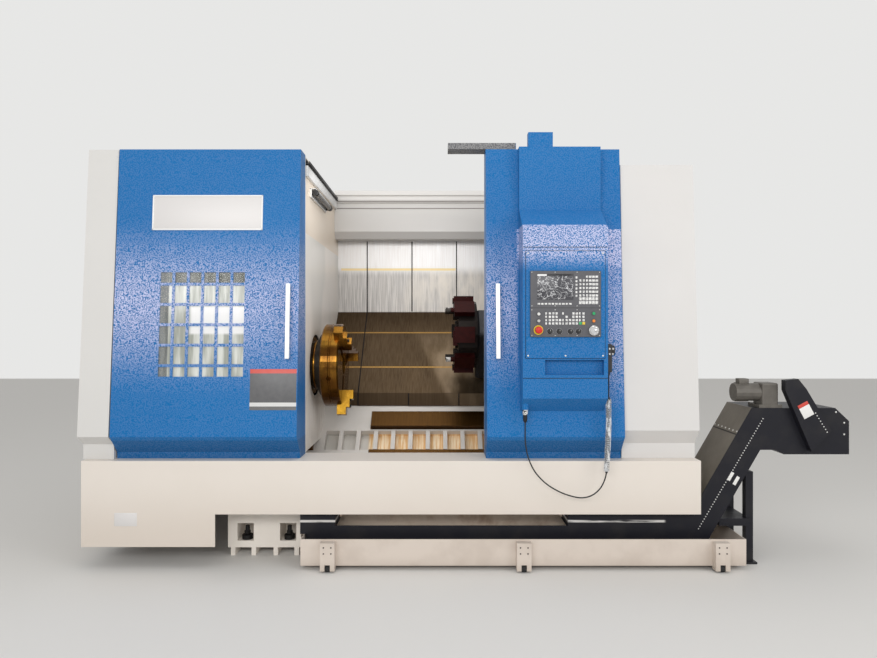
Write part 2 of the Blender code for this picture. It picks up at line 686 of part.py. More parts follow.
def main_motor():
    """The spindle motor on the end of the bed, its shaft towards the left."""
    motor_y = FRONT_Y + MOTOR_SETBACK
    right = BED_LEFT - SEAT_GAP
    left = right - MOTOR_LENGTH
    shaft_end = DOORWAY_LEFT + PULLEY_START
    ridge = MOTOR_RADIUS - CHUCK_CHAMFER
    profile = [(0, right), (MOTOR_RADIUS, right), (MOTOR_RADIUS, right - RIB_WIDTH),
               (ridge, right - RIB_WIDTH),
               (ridge, left + RIB_WIDTH), (MOTOR_RADIUS, left + RIB_WIDTH), (MOTOR_RADIUS, left),
               (MOTOR_SHAFT_RADIUS, left), (MOTOR_SHAFT_RADIUS, shaft_end), (0, shaft_end)]
    motor = turned("motor", profile, (0, motor_y, MOTOR_HEIGHT))
    finish(motor, "main_motor", CHARCOAL, 0.5, 0.3, smooth=True)
    pulley = turned("pulley", pulley_profile(MOTOR_PULLEY_RADIUS, MOTOR_SHAFT_RADIUS + SEAT_GAP,
                                             PULLEY_WIDTH),
                    (shaft_end, motor_y, MOTOR_HEIGHT), closed=True)
    finish(pulley, "motor_pulley", STEEL, 0.4, 0.8, pivot=(shaft_end, motor_y, MOTOR_HEIGHT), smooth=True)


def drive_belt():
    """The flat drive belt round the two pulleys, as an open belt's outline less its inside."""
    motor_y = FRONT_Y + MOTOR_SETBACK
    span = Vector((motor_y - SPINDLE_Y, MOTOR_HEIGHT - SPINDLE_HEIGHT))
    heading = math.atan2(span.y, span.x)
    lean = math.acos((SPINDLE_PULLEY_RADIUS - MOTOR_PULLEY_RADIUS) / span.length)
    start = DOORWAY_LEFT + PULLEY_START + PULLEY_RIM + SEAT_GAP
    end = DOORWAY_LEFT + PULLEY_START + PULLEY_WIDTH - PULLEY_RIM - SEAT_GAP
    wraps = ((SPINDLE_Y, SPINDLE_HEIGHT, SPINDLE_PULLEY_RADIUS, heading + lean, math.tau - 2 * lean),
             (motor_y, MOTOR_HEIGHT, MOTOR_PULLEY_RADIUS, heading - lean, 2 * lean))
    solids = []
    for growth, overrun in ((SEAT_GAP + BELT_THICKNESS, 0), (SEAT_GAP, OVERRUN)):
        outline = []
        for y, z, pulley_radius, first_angle, sweep in wraps:
            radius = (pulley_radius + growth) / math.cos(sweep / BELT_ARC_STEPS / 2)
            for step in range(BELT_ARC_STEPS + 1):
                angle = first_angle + sweep * step / BELT_ARC_STEPS
                outline.append((y + radius * math.cos(angle), z + radius * math.sin(angle)))
        solids.append(prism("belt", outline, "X", start - overrun, end + overrun))
    finish(cut(solids[0], solids[1]), "drive_belt", BLACK, 0.8, 0)


# Telescopic way covers, counted from the headstock, and their overlap at rest
COVER_FOOT_ALONG = 0.107
COVER_CORNER_SETBACK = 1.63
COVER_TOP = 2.25
COVER_SHEET = 0.0025
COVER_LAYER = COVER_SHEET + SEAT_GAP
COVER_SEAM_INSETS = (0.234, 0.613, 0.99)
COVER_OVERLAP = 0.07
SADDLE_START = 1.262
SADDLE_LENGTH = 0.48
RIGHT_COVER_LENGTH = 0.63


def cover_outline(layer):
    """A plate's section: upright, slope and lip, with each layer above the one before."""
    rise = layer * COVER_LAYER
    drop = -WAY_COVER_DROP - 3 * COVER_LAYER + rise
    foot_y, foot_z = slope_point(COVER_FOOT_ALONG, drop)
    upright_y = FRONT_Y + COVER_CORNER_SETBACK + 3 * COVER_LAYER - rise
    corner_z = foot_z + (upright_y - foot_y)
    lowest_y = slope_point(COVER_FOOT_ALONG, -WAY_COVER_DROP - 3 * COVER_LAYER)[0]
    lip_z = bed_height(lowest_y + COVER_SHEET) + SEAT_GAP
    outer = [(foot_y - rise, lip_z), (foot_y - rise, foot_z - rise), (upright_y, corner_z),
             (upright_y, COVER_TOP)]
    fold = COVER_SHEET * math.tan(SLOPE / 2)
    inner = [(upright_y + COVER_SHEET, COVER_TOP), (upright_y + COVER_SHEET, corner_z - fold),
             (foot_y - rise + COVER_SHEET, foot_z - rise - fold), (foot_y - rise + COVER_SHEET, lip_z)]
    return outer + inner


def way_covers():
    seams = [DOORWAY_LEFT + inset for inset in COVER_SEAM_INSETS]
    wall = DOORWAY_LEFT - WALL_INSET + SEAT_GAP
    saddle_left = DOORWAY_LEFT + SADDLE_START - SEAT_GAP
    saddle_right = saddle_left + SADDLE_LENGTH + 2 * SEAT_GAP
    inner_right = RIGHT_X - 2 * SHEET
    spans = [(wall, seams[0] + COVER_OVERLAP, 0), (seams[0], seams[1] + COVER_OVERLAP, 1),
             (seams[1], seams[2] + COVER_OVERLAP, 2), (seams[2], saddle_left, 3),
             (saddle_right, saddle_right + RIGHT_COVER_LENGTH, 3),
             (inner_right - RIGHT_COVER_LENGTH, inner_right, 2)]
    for number, (start, end, layer) in enumerate(spans, 1):
        cover = prism("cover", cover_outline(layer), "X", start, end)
        middle_y, middle_z = slope_point(COVER_FOOT_ALONG, -WAY_COVER_DROP)
        finish(cover, f"way_cover_{number}", STEEL, 0.3, 0.9, pivot=(start, middle_y, middle_z))


# Saddle, cross slide and turret
SADDLE_SKIN = 0.09
SADDLE_ALONG = (0.135, 0.93)
SADDLE_HEAD_TOP = 2.15
SADDLE_HEAD_DEPTH = 0.09
CROSS_THICKNESS = 0.12
CROSS_ALONG = (0.08, 0.6)
CROSS_INSET = 0.03
CROSS_WAY_WIDTH = 0.05
CROSS_WAY_DEPTH = 0.02
TURRET_START = 0.982
TURRET_THICKNESS = 0.13
TURRET_ALONG = 0.297
TURRET_RADIUS = 0.235
TURRET_SIDES = 8
HEAD_HALF = 0.13
HEAD_LENGTH = 0.4
TURRET_MOTOR_RADIUS = 0.09
TURRET_MOTOR_LENGTH = 0.14
HOLDER_WIDTH = 0.11
HOLDER_HEIGHT = 0.07
HOLDER_REACH = 0.03
BORING_RADIUS = 0.02
BORING_LENGTH = 0.09
TURRET_HUB_RADIUS = 0.1
TURRET_HUB_REACH = 0.02


def saddle():
    """The saddle on the upper guideways, with its upright rear part and its cross guideways."""
    left = DOORWAY_LEFT + SADDLE_START
    right = left + SADDLE_LENGTH
    bottom = -BED_DROP + CARRIAGE_WAY_HEIGHT + SEAT_GAP
    top = bottom + SADDLE_SKIN
    low, high = SADDLE_ALONG
    upright_y = FRONT_Y + COVER_CORNER_SETBACK
    knee_y, knee_z = slope_point(high, bottom)
    front_y, front_z = slope_point(low, top)
    knee_top = front_z + (upright_y - front_y)
    outline = [slope_point(low, top), slope_point(low, bottom), (knee_y, knee_z),
               (upright_y + SADDLE_HEAD_DEPTH, knee_z), (upright_y + SADDLE_HEAD_DEPTH, SADDLE_HEAD_TOP),
               (upright_y, SADDLE_HEAD_TOP), (upright_y, knee_top)]
    body = prism("saddle", outline, "X", left, right)
    groove_left = left + CROSS_INSET + CROSS_WAY_WIDTH
    groove_right = right - CROSS_INSET - CROSS_WAY_WIDTH
    groove = slope_block("groove", (groove_left, groove_right), (low - OVERRUN, high),
                         (top - CROSS_WAY_DEPTH, top + OVERRUN))
    finish(cut(body, groove), "saddle", CASTING, 0.45, 0.2)


def saddle_top():
    return -BED_DROP + CARRIAGE_WAY_HEIGHT + SEAT_GAP + SADDLE_SKIN


def turret_centre(x):
    return (x, *slope_point(TURRET_ALONG, 0))


def cross_slide():
    """The slide on the saddle's cross guideways, with the turret's housing and motor."""
    left = DOORWAY_LEFT + SADDLE_START + CROSS_INSET
    right = left + SADDLE_LENGTH - 2 * CROSS_INSET
    bottom = saddle_top() + SEAT_GAP
    plate = slope_block("plate", (left, right), CROSS_ALONG, (bottom, bottom + CROSS_THICKNESS))
    low, high = CROSS_ALONG
    tongue = slope_block("tongue", (left + CROSS_WAY_WIDTH + SEAT_GAP, right - CROSS_WAY_WIDTH - SEAT_GAP),
                         (low + CROSS_INSET, high - CROSS_INSET),
                         (bottom - CROSS_WAY_DEPTH, bottom + CROSS_WAY_DEPTH))
    head_left = DOORWAY_LEFT + TURRET_START + TURRET_THICKNESS + SEAT_GAP
    head = slope_block("head", (head_left, head_left + HEAD_LENGTH),
                       (TURRET_ALONG - HEAD_HALF, TURRET_ALONG + HEAD_HALF),
                       (bottom + CROSS_WAY_DEPTH, HEAD_HALF))
    head = rounded(head, CROSS_WAY_DEPTH)
    motor = rod("motor", turret_centre(head_left + HEAD_LENGTH - OVERRUN),
                turret_centre(head_left + HEAD_LENGTH + TURRET_MOTOR_LENGTH), TURRET_MOTOR_RADIUS,
                ROUND_STEPS)
    finish(join(plate, tongue, head, motor), "cross_slide", CHARCOAL, 0.4, 0.3, smooth=True)


def turret_disc():
    """The indexing disc with its tool holders and tools."""
    start = DOORWAY_LEFT + TURRET_START
    end = start + TURRET_THICKNESS
    disc = rod("disc", turret_centre(start), turret_centre(end), TURRET_RADIUS, 2 * TURRET_SIDES)
    hub = rod("hub", turret_centre(start - TURRET_HUB_REACH), turret_centre(start + OVERRUN),
              TURRET_HUB_RADIUS, ROUND_STEPS)
    disc = join(disc, hub)
    centre = Matrix.Translation(turret_centre(0))
    base_y, base_z = slope_point(TURRET_ALONG, 0)
    for station in range(TURRET_SIDES):
        turn = centre @ Matrix.Rotation(math.tau * station / TURRET_SIDES, 4, "X") @ centre.inverted()
        low_z = base_z + TURRET_RADIUS - HOLDER_REACH
        holder = block("holder", (start - HOLDER_REACH, base_y - HOLDER_WIDTH / 2, low_z),
                       (start + HOLDER_WIDTH, base_y + HOLDER_WIDTH / 2, low_z + HOLDER_HEIGHT))
        disc = join(disc, placed(holder, turn))
        if station % 2:
            tool_z = low_z + HOLDER_HEIGHT / 2
            tool = rod("tool", (start - BORING_LENGTH, base_y, tool_z), (start + OVERRUN, base_y, tool_z),
                       BORING_RADIUS, COARSE_STEPS)
        else:
            tool_z = low_z + HOLDER_HEIGHT / 2
            tool = block("tool",
                         (start - HOLDER_REACH - BORING_RADIUS / 2,
                          base_y - HOLDER_WIDTH / 2 - BORING_RADIUS,
                                  tool_z - BORING_RADIUS),
                         (start - HOLDER_REACH + BORING_RADIUS, base_y + HOLDER_WIDTH / 4,
                          tool_z + BORING_RADIUS))
        disc = join(disc, placed(tool, turn))
    finish(disc, "turret_disc", CHARCOAL, 0.35, 0.6, pivot=turret_centre(start))


def z_ball_screw():
    screw_y, screw_z = slope_point(SCREW_ALONG, SCREW_ABOVE)
    screw = rod("screw", (DOORWAY_LEFT, screw_y, screw_z), (BED_RIGHT, screw_y, screw_z),
                SCREW_RADIUS - SEAT_GAP)
    finish(screw, "z_ball_screw", STEEL, 0.3, 0.9, pivot=(DOORWAY_LEFT, screw_y, screw_z), smooth=True)


# Tailstock on the lower guideways
TAIL_START = 1.602
TAIL_LENGTH = 0.42
TAIL_BARREL_RADIUS = 0.112
TAIL_BASE_HEIGHT = 0.07
TAIL_WEB_HALF = 0.085
TAIL_WEB_SHARE = 0.7
QUILL_RADIUS = 0.055
QUILL_NOSE = 0.03
CENTRE_LENGTH = 0.09
CENTRE_RADIUS = 0.032
CENTRE_SHANK = 0.014
CENTRE_SHANK_LENGTH = 0.022
QUILL_DEPTH = 0.3


def tailstock():
    left = DOORWAY_LEFT + TAIL_START
    right = left + TAIL_LENGTH
    seat = -BED_DROP + TAIL_WAY_HEIGHT + SEAT_GAP
    low = TAIL_WAYS_ALONG[0][0]
    high = TAIL_WAYS_ALONG[1][1]
    base_top = seat + TAIL_BASE_HEIGHT
    outline = [(low, seat), (high, seat), (high, base_top),
               (TAIL_BARREL_RADIUS * TAIL_WEB_SHARE, -TAIL_WEB_HALF),
               (-TAIL_BARREL_RADIUS * TAIL_WEB_SHARE, TAIL_WEB_HALF), (low, base_top)]
    foot = prism("foot", slope_outline(outline), "X", left, right)
    barrel = rod("barrel", at_spindle(left), at_spindle(right), TAIL_BARREL_RADIUS, ROUND_STEPS)
    bore = rod("bore", at_spindle(left - OVERRUN), at_spindle(left + QUILL_DEPTH + RUNNING_GAP),
               QUILL_RADIUS + 2 * SEAT_GAP, ROUND_STEPS)
    finish(cut(join(foot, barrel), bore), "tailstock_body", CASTING, 0.45, 0.2, smooth=True)
    nose = left - QUILL_NOSE
    profile = [(0, left + QUILL_DEPTH), (QUILL_RADIUS, left + QUILL_DEPTH), (QUILL_RADIUS, nose),
               (CENTRE_SHANK + SEAT_GAP, nose),
               (CENTRE_SHANK + SEAT_GAP, nose + CENTRE_SHANK_LENGTH + SEAT_GAP),
               (0, nose + CENTRE_SHANK_LENGTH + SEAT_GAP)]
    quill = turned("quill", profile, at_spindle(0))
    finish(quill, "tailstock_quill", STEEL, 0.25, 0.9, pivot=at_spindle(nose), smooth=True)
    tip = nose - CENTRE_LENGTH
    profile = [(0, nose + CENTRE_SHANK_LENGTH), (CENTRE_SHANK, nose + CENTRE_SHANK_LENGTH),
               (CENTRE_SHANK, nose - SEAT_GAP), (CENTRE_RADIUS, nose - SEAT_GAP),
               (CENTRE_RADIUS, nose - CENTRE_LENGTH / 3), (0, tip)]
    centre = turned("centre", profile, at_spindle(0), steps=SMALL_STEPS)
    finish(centre, "live_centre", STEEL, 0.2, 1, pivot=at_spindle(nose), smooth=True)


# Doors that slide along the front, their window and handles
WINDOW_FROM_EDGE = 0.5805
WINDOW_WIDTH = 0.525
WINDOW_HEIGHT = 0.646
WINDOW_MIDDLE = 1.459
WINDOW_MARGIN = 0.02
GRILLE_SHEET = 0.004
GRILLE_BAR = 0.017
GRILLE_COLUMNS = 6
GRILLE_ROW_SHARES = (0.125, 0.19, 0.19, 0.19, 0.19, 0.115)
GLASS_THICKNESS = 0.008
HANDLE_LOW = 1.25
HANDLE_HIGH = 1.7
HANDLE_WIDTH = 0.026
HANDLE_THICKNESS = 0.016
HANDLE_REACH = 0.045
HANDLE_POST = 0.03
LEFT_HANDLE_INSET = 0.0565
RIGHT_HANDLE_INSET = 0.066
TOP_STRIP_OVERHANG = 0.231
TOP_STRIP_SEAT = 0.188
TOP_STRIP_FRONT_SETBACK = 0.13
TOP_STRIP_THICKNESS = 0.037
LEAN = math.atan((LEAN_TOP_SETBACK - LEAN_TOE_SETBACK) / (ENCLOSURE_HEIGHT - BASE_TOP - TOE_HEIGHT))


def door_front(z):
    """The Y of the doors' leaning front at a height."""
    return FRONT_Y + LEAN_TOE_SETBACK + (z - BASE_TOP - TOE_HEIGHT) * math.tan(LEAN)


def on_door(x, z):
    """Turns a piece drawn with its back at Y = 0 onto the doors' leaning front."""
    return Matrix.Translation((x, door_front(z), z)) @ Matrix.Rotation(-LEAN, 4, "X")


def door_leaf(name, start, end):
    outline = leaning_outline(ENCLOSURE_HEIGHT, LEAN_TOP_SETBACK, TOE_HEIGHT, LEAN_TOE_SETBACK,
                              STRIP_HEIGHT, STRIP_SETBACK, DOOR_BACK_SETBACK)
    return prism(name, outline, "X", start, end)


def door_handle(name, x):
    """A square bar on two posts."""
    middle = (HANDLE_LOW + HANDLE_HIGH) / 2
    half = (HANDLE_HIGH - HANDLE_LOW) / 2
    bar = block("bar", (-HANDLE_WIDTH / 2, -HANDLE_REACH, -half),
                (HANDLE_WIDTH / 2, -HANDLE_REACH + HANDLE_THICKNESS, half))
    bar = rounded(bar, HANDLE_THICKNESS / 4)
    for low in (-half + HANDLE_POST, half - 2 * HANDLE_POST):
        post = block("post", (-HANDLE_WIDTH / 4, -HANDLE_REACH + HANDLE_THICKNESS / 2, low),
                     (HANDLE_WIDTH / 4, -SEAT_GAP, low + HANDLE_POST))
        bar = join(bar, post)
    finish(placed(bar, on_door(x, middle)), name, STEEL, 0.3, 0.9)


def left_door():
    """The left door with its window, whose bars are left standing in the door's own sheet."""
    start = LEFT_X + PILLAR_WIDTH + RUNNING_GAP
    leaf = door_leaf("leaf", start, DOORWAY_LEFT)
    window = on_door(DOORWAY_LEFT - WINDOW_FROM_EDGE, WINDOW_MIDDLE)
    half_width = WINDOW_WIDTH / 2
    half_height = WINDOW_HEIGHT / 2
    cutters = [block("aperture", (-half_width - WINDOW_MARGIN, GRILLE_SHEET, -half_height - WINDOW_MARGIN),
                     (half_width + WINDOW_MARGIN, DOOR_BACK_SETBACK + OVERRUN,
                      half_height + WINDOW_MARGIN))]
    pitch = WINDOW_WIDTH / GRILLE_COLUMNS
    row_top = half_height
    for share in GRILLE_ROW_SHARES:
        row_bottom = row_top - share * WINDOW_HEIGHT
        for column in range(GRILLE_COLUMNS):
            left = -half_width + column * pitch
            cutters.append(block("hole", (left + GRILLE_BAR / 2, -OVERRUN, row_bottom + GRILLE_BAR / 2),
                                 (left + pitch - GRILLE_BAR / 2, GRILLE_SHEET + SHEET / 2,
                                  row_top - GRILLE_BAR / 2)))
        row_top = row_bottom
    aperture = placed(cutters.pop(0), window)
    holes = placed(cutter_group("holes", cutters), window)
    leaf = cut(leaf, aperture, holes)
    finish(leaf, "left_door", BLUE, 0.4, 0.2)
    glass = block("glass", (-half_width - WINDOW_MARGIN + SEAT_GAP, GRILLE_SHEET + SEAT_GAP,
                            -half_height - WINDOW_MARGIN + SEAT_GAP),
                  (half_width + WINDOW_MARGIN - SEAT_GAP, GRILLE_SHEET + SEAT_GAP + GLASS_THICKNESS,
                   half_height + WINDOW_MARGIN - SEAT_GAP))
    finish(placed(glass, window), "left_door_glass", (0.8, 0.85, 0.85), 0.05, 0)
    door_handle("left_door_handle", DOORWAY_LEFT - LEFT_HANDLE_INSET)


def right_door():
    """The right door, with the zinc-plated strip on its top that reaches over the doorway."""
    leaf = door_leaf("leaf", DOORWAY_RIGHT, DOORWAY_RIGHT + RIGHT_DOOR_WIDTH)
    front = FRONT_Y + TOP_STRIP_FRONT_SETBACK
    back = FRONT_Y + DOOR_BACK_SETBACK
    under = ENCLOSURE_HEIGHT + RUNNING_GAP
    strip = block("strip", (DOORWAY_RIGHT - TOP_STRIP_OVERHANG, front, under),
                  (DOORWAY_RIGHT + TOP_STRIP_SEAT, back, under + TOP_STRIP_THICKNESS))
    foot = block("foot", (DOORWAY_RIGHT, front, ENCLOSURE_HEIGHT - OVERRUN),
                 (DOORWAY_RIGHT + TOP_STRIP_SEAT, back, under + TOP_STRIP_THICKNESS / 2))
    finish(join(leaf, foot, strip), "right_door", BLUE, 0.4, 0.2)
    door_handle("right_door_handle", DOORWAY_RIGHT + RIGHT_HANDLE_INSET)


# Console on the right door
CONSOLE_INSET = 0.197
CONSOLE_WIDTH = 0.491
DUCT_SETBACK = 0.048
DUCT_BOTTOM = 2.149
CONSOLE_TOP = 2.014
CONSOLE_FOOT = 1.029
FOOT_BEVEL_BOTTOM = 0.945
FOOT_REACH = 0.01
TOP_BOX_INSET = 0.056
TOP_BOX_WIDTH = 0.148
TOP_BOX_HEIGHT = 0.088
TOP_BOX_DEPTH = 0.05
COVER_INSET = 0.018
COVER_BOTTOM = 1.262
COVER_TOP_EDGE = 1.879
POCKET_TOP = 1.252
POCKET_BOTTOM = 1.165
POCKET_LEFT_INSET = 0.128
POCKET_RIGHT_INSET = 0.023
POCKET_RECESS = 0.04
SOCKET_STUB_RADIUS = 0.02
CONSOLE_LEFT = DOORWAY_RIGHT + CONSOLE_INSET
CONSOLE_RIGHT = CONSOLE_LEFT + CONSOLE_WIDTH
CONSOLE_FACE = FRONT_Y - CONSOLE_REACH
COVER_FACE = CONSOLE_FACE - COVER_PLATE_THICKNESS
CONNECTOR_INSET = 0.018
CONNECTOR_SETBACK = -0.06
CONNECTOR_TOP = 0.958


def console_housing():
    outline = [(FRONT_Y + DUCT_SETBACK, ENCLOSURE_HEIGHT), (FRONT_Y + DUCT_SETBACK, DUCT_BOTTOM),
               (CONSOLE_FACE, CONSOLE_TOP), (CONSOLE_FACE, CONSOLE_FOOT),
               (FRONT_Y - FOOT_REACH, FOOT_BEVEL_BOTTOM),
               (door_front(FOOT_BEVEL_BOTTOM) - SEAT_GAP, FOOT_BEVEL_BOTTOM),
               (door_front(ENCLOSURE_HEIGHT) - SEAT_GAP, ENCLOSURE_HEIGHT)]
    housing = prism("housing", outline, "X", CONSOLE_LEFT, CONSOLE_RIGHT)
    box_front = FRONT_Y + DUCT_SETBACK + SHEET
    top_box = block("top_box", (CONSOLE_LEFT + TOP_BOX_INSET, box_front, ENCLOSURE_HEIGHT - OVERRUN / 2),
                    (CONSOLE_LEFT + TOP_BOX_INSET + TOP_BOX_WIDTH, box_front + TOP_BOX_DEPTH,
                     ENCLOSURE_HEIGHT + TOP_BOX_HEIGHT))
    pocket = block("pocket", (CONSOLE_LEFT + POCKET_LEFT_INSET, CONSOLE_FACE - OVERRUN, POCKET_BOTTOM),
                   (CONSOLE_RIGHT - POCKET_RIGHT_INSET, CONSOLE_FACE + POCKET_RECESS, POCKET_TOP))
    stub_y = FRONT_Y + CONNECTOR_SETBACK
    stub = rod("stub", (CONSOLE_LEFT + CONNECTOR_INSET + SHEET, stub_y, CONNECTOR_TOP),
               (CONSOLE_LEFT + CONNECTOR_INSET + SHEET, stub_y, CONSOLE_FOOT + OVERRUN), SOCKET_STUB_RADIUS)
    finish(cut(join(housing, top_box, stub), pocket), "console_housing", BLUE, 0.4, 0.2)


def console_cover():
    cover = block("cover", (CONSOLE_LEFT + COVER_INSET, COVER_FACE, COVER_BOTTOM),
                  (CONSOLE_RIGHT - COVER_INSET, CONSOLE_FACE - SEAT_GAP, COVER_TOP_EDGE))
    finish(cover, "console_cover", BLUE, 0.4, 0.2)


# Operator panel and its controls, placed by shares of the panel's width and height
PANEL_INSET = 0.041
PANEL_WIDTH = 0.406
PANEL_HEIGHT = 0.38
PANEL_BOTTOM = 1.384
PANEL_CORNER = 0.003
SCREEN_LEFT_SHARE = 0.095
SCREEN_RIGHT_SHARE = 0.61
SCREEN_BOTTOM_SHARE = 0.56
SCREEN_TOP_SHARE = 0.955
SCREEN_DEPTH = 0.002
CONTROL_DEPTH = 0.0105
CONTROL_CLEARANCE = 0.0004
PRESS_ROOM = 0.0045
STOP_HEAD_RADIUS = 0.02
STOP_HEAD_TOP = 0.033
STOP_CROWN_SHARE = 0.7
STOP_NECK_RADIUS = 0.0095
STOP_RING_RADIUS = 0.028
STOP_SHARES = (0.113, 0.105)
BUTTON_RADIUS = 0.009
BUTTON_TOP = 0.009
CROWN_SHARE = 0.85
BEZEL_HEIGHT = 0.004
BEZEL_WALL = 0.0035
BUTTON_SHARES = {"power_on_button": (0.118, 0.347), "power_off_button": (0.118, 0.243),
                 "cycle_start_button": (0.894, 0.355), "cycle_stop_button": (0.894, 0.243)}
KNOB_RADIUS = 0.014
KNOB_STEM_RADIUS = 0.005
KNOB_HEIGHT = 0.016
RIDGE_SHARE = 0.8
KNOB_RIDGE = 0.006
KNOB_X_SHARES = (0.277, 0.411, 0.568, 0.682)
KNOB_NAMES = ("mode_knob", "feed_override_knob", "spindle_override_knob", "rapid_override_knob")
KNOB_Z_SHARE = 0.085
HANDWHEEL_SHARES = (0.894, 0.098)
HANDWHEEL_RADIUS = 0.029
HANDWHEEL_STEM = 0.008
HANDWHEEL_THICKNESS = 0.012
HANDWHEEL_DISH_SHARE = 0.7
HANDWHEEL_RIM_SHARE = 0.8
CRANK_SHARE = 0.45
CRANK_RADIUS = 0.006
PANEL_LEFT = CONSOLE_LEFT + PANEL_INSET
PANEL_FACE = COVER_FACE - PANEL_THICKNESS
OUTWARD = (0, -1, 0)


def on_panel(shares):
    return (PANEL_LEFT + shares[0] * PANEL_WIDTH, PANEL_FACE, PANEL_BOTTOM + shares[1] * PANEL_HEIGHT)


def out_of_panel(place, reach):
    return (place[0], place[1] - reach, place[2])


def operator_panel():
    """The panel with its screen's recess, and a ring and a bore for each control."""
    right = PANEL_LEFT + PANEL_WIDTH
    top = PANEL_BOTTOM + PANEL_HEIGHT
    panel = rounded(block("panel", (PANEL_LEFT, PANEL_FACE, PANEL_BOTTOM),
                          (right, COVER_FACE - SEAT_GAP, top)),
                    PANEL_CORNER)
    low = on_panel((SCREEN_LEFT_SHARE, SCREEN_BOTTOM_SHARE))
    high = on_panel((SCREEN_RIGHT_SHARE, SCREEN_TOP_SHARE))
    screen = block("screen", out_of_panel(low, OVERRUN), (high[0], PANEL_FACE + SCREEN_DEPTH, high[2]))
    panel = cut(panel, screen)
    rings = [(STOP_SHARES, STOP_RING_RADIUS, STOP_NECK_RADIUS)]
    rings += [(shares, BUTTON_RADIUS + BEZEL_WALL, BUTTON_RADIUS) for shares in BUTTON_SHARES.values()]
    bores = [((share, KNOB_Z_SHARE), KNOB_STEM_RADIUS) for share in KNOB_X_SHARES]
    bores.append((HANDWHEEL_SHARES, HANDWHEEL_STEM))
    for shares, radius, bore_radius in rings:
        place = on_panel(shares)
        ring = rod("ring", out_of_panel(place, -PANEL_THICKNESS / 2), out_of_panel(place, BEZEL_HEIGHT),
                   radius)
        panel = join(panel, ring)
        bores.append((shares, bore_radius))
    cutters = []
    for shares, radius in bores:
        place = on_panel(shares)
        cutters.append(rod("bore", out_of_panel(place, -CONTROL_DEPTH), out_of_panel(place, OVERRUN),
                           radius + CONTROL_CLEARANCE))
    finish(cut(panel, cutter_group("bores", cutters)), "operator_panel", PANEL_GREY, 0.5, 0.1)


def emergency_stop():
    place = on_panel(STOP_SHARES)
    root = CONTROL_DEPTH - PRESS_ROOM
    neck_top = STOP_HEAD_TOP / 2
    profile = [(0, STOP_HEAD_TOP), (STOP_HEAD_RADIUS * STOP_CROWN_SHARE, STOP_HEAD_TOP - BEZEL_HEIGHT / 4),
               (STOP_HEAD_RADIUS, STOP_HEAD_TOP - BEZEL_HEIGHT), (STOP_HEAD_RADIUS, neck_top),
               (STOP_NECK_RADIUS, neck_top), (STOP_NECK_RADIUS, -root), (0, -root)]
    stop = turned("stop", profile, place, OUTWARD, SMALL_STEPS)
    finish(stop, "emergency_stop", (0.6, 0.02, 0.01), 0.35, 0, pivot=place, smooth=True)


def push_buttons():
    colours = {"power_on_button": (0.7, 0.7, 0.7), "power_off_button": (0.7, 0.7, 0.7),
               "cycle_start_button": (0.02, 0.4, 0.15), "cycle_stop_button": (0.8, 0.25, 0.03)}
    root = CONTROL_DEPTH - PRESS_ROOM
    for name, shares in BUTTON_SHARES.items():
        place = on_panel(shares)
        profile = [(0, BUTTON_TOP), (BUTTON_RADIUS * CROWN_SHARE, BUTTON_TOP),
                   (BUTTON_RADIUS, BUTTON_TOP - BEZEL_WALL / 2), (BUTTON_RADIUS, -root), (0, -root)]
        button = turned("button", profile, place, OUTWARD, SMALL_STEPS)
        finish(button, name, colours[name], 0.35, 0, pivot=place, smooth=True)


def knobs():
    root = CONTROL_DEPTH - PRESS_ROOM / 4
    for name, share in zip(KNOB_NAMES, KNOB_X_SHARES):
        place = on_panel((share, KNOB_Z_SHARE))
        profile = [(0, KNOB_HEIGHT - KNOB_RIDGE / 2),
                   (KNOB_RADIUS * CROWN_SHARE, KNOB_HEIGHT - KNOB_RIDGE / 2),
                   (KNOB_RADIUS, SEAT_GAP), (KNOB_STEM_RADIUS, SEAT_GAP), (KNOB_STEM_RADIUS, -root),
                   (0, -root)]
        knob = turned("knob", profile, place, OUTWARD, SMALL_STEPS)
        ridge = block("ridge", (place[0] - KNOB_RIDGE / 2, place[1] - KNOB_HEIGHT,
                                place[2] - KNOB_RADIUS * RIDGE_SHARE),
                      (place[0] + KNOB_RIDGE / 2, place[1] - KNOB_HEIGHT / 2,
                       place[2] + KNOB_RADIUS * RIDGE_SHARE))
        finish(join(knob, ridge), name, BLACK, 0.4, 0, pivot=place, smooth=True)


def handwheel():
    place = on_panel(HANDWHEEL_SHARES)
    root = CONTROL_DEPTH - PRESS_ROOM / 4
    rim_top = BEZEL_HEIGHT + HANDWHEEL_THICKNESS
    profile = [(0, rim_top - BEZEL_WALL), (HANDWHEEL_RADIUS * HANDWHEEL_DISH_SHARE, rim_top - BEZEL_WALL),
               (HANDWHEEL_RADIUS * HANDWHEEL_RIM_SHARE, rim_top), (HANDWHEEL_RADIUS, rim_top - BEZEL_WALL),
               (HANDWHEEL_RADIUS, BEZEL_HEIGHT), (HANDWHEEL_STEM, BEZEL_HEIGHT), (HANDWHEEL_STEM, -root),
               (0, -root)]
    wheel = turned("wheel", profile, place, OUTWARD, SMALL_STEPS)
    crank_x = place[0] + HANDWHEEL_RADIUS * CRANK_SHARE
    crank = rod("crank", (crank_x, place[1] - rim_top / 2, place[2]),
                (crank_x, place[1] - HANDWHEEL_REACH, place[2]), CRANK_RADIUS, COARSE_STEPS)
    finish(join(wheel, crank), "handwheel", STEEL, 0.3, 0.9, pivot=place, smooth=True)


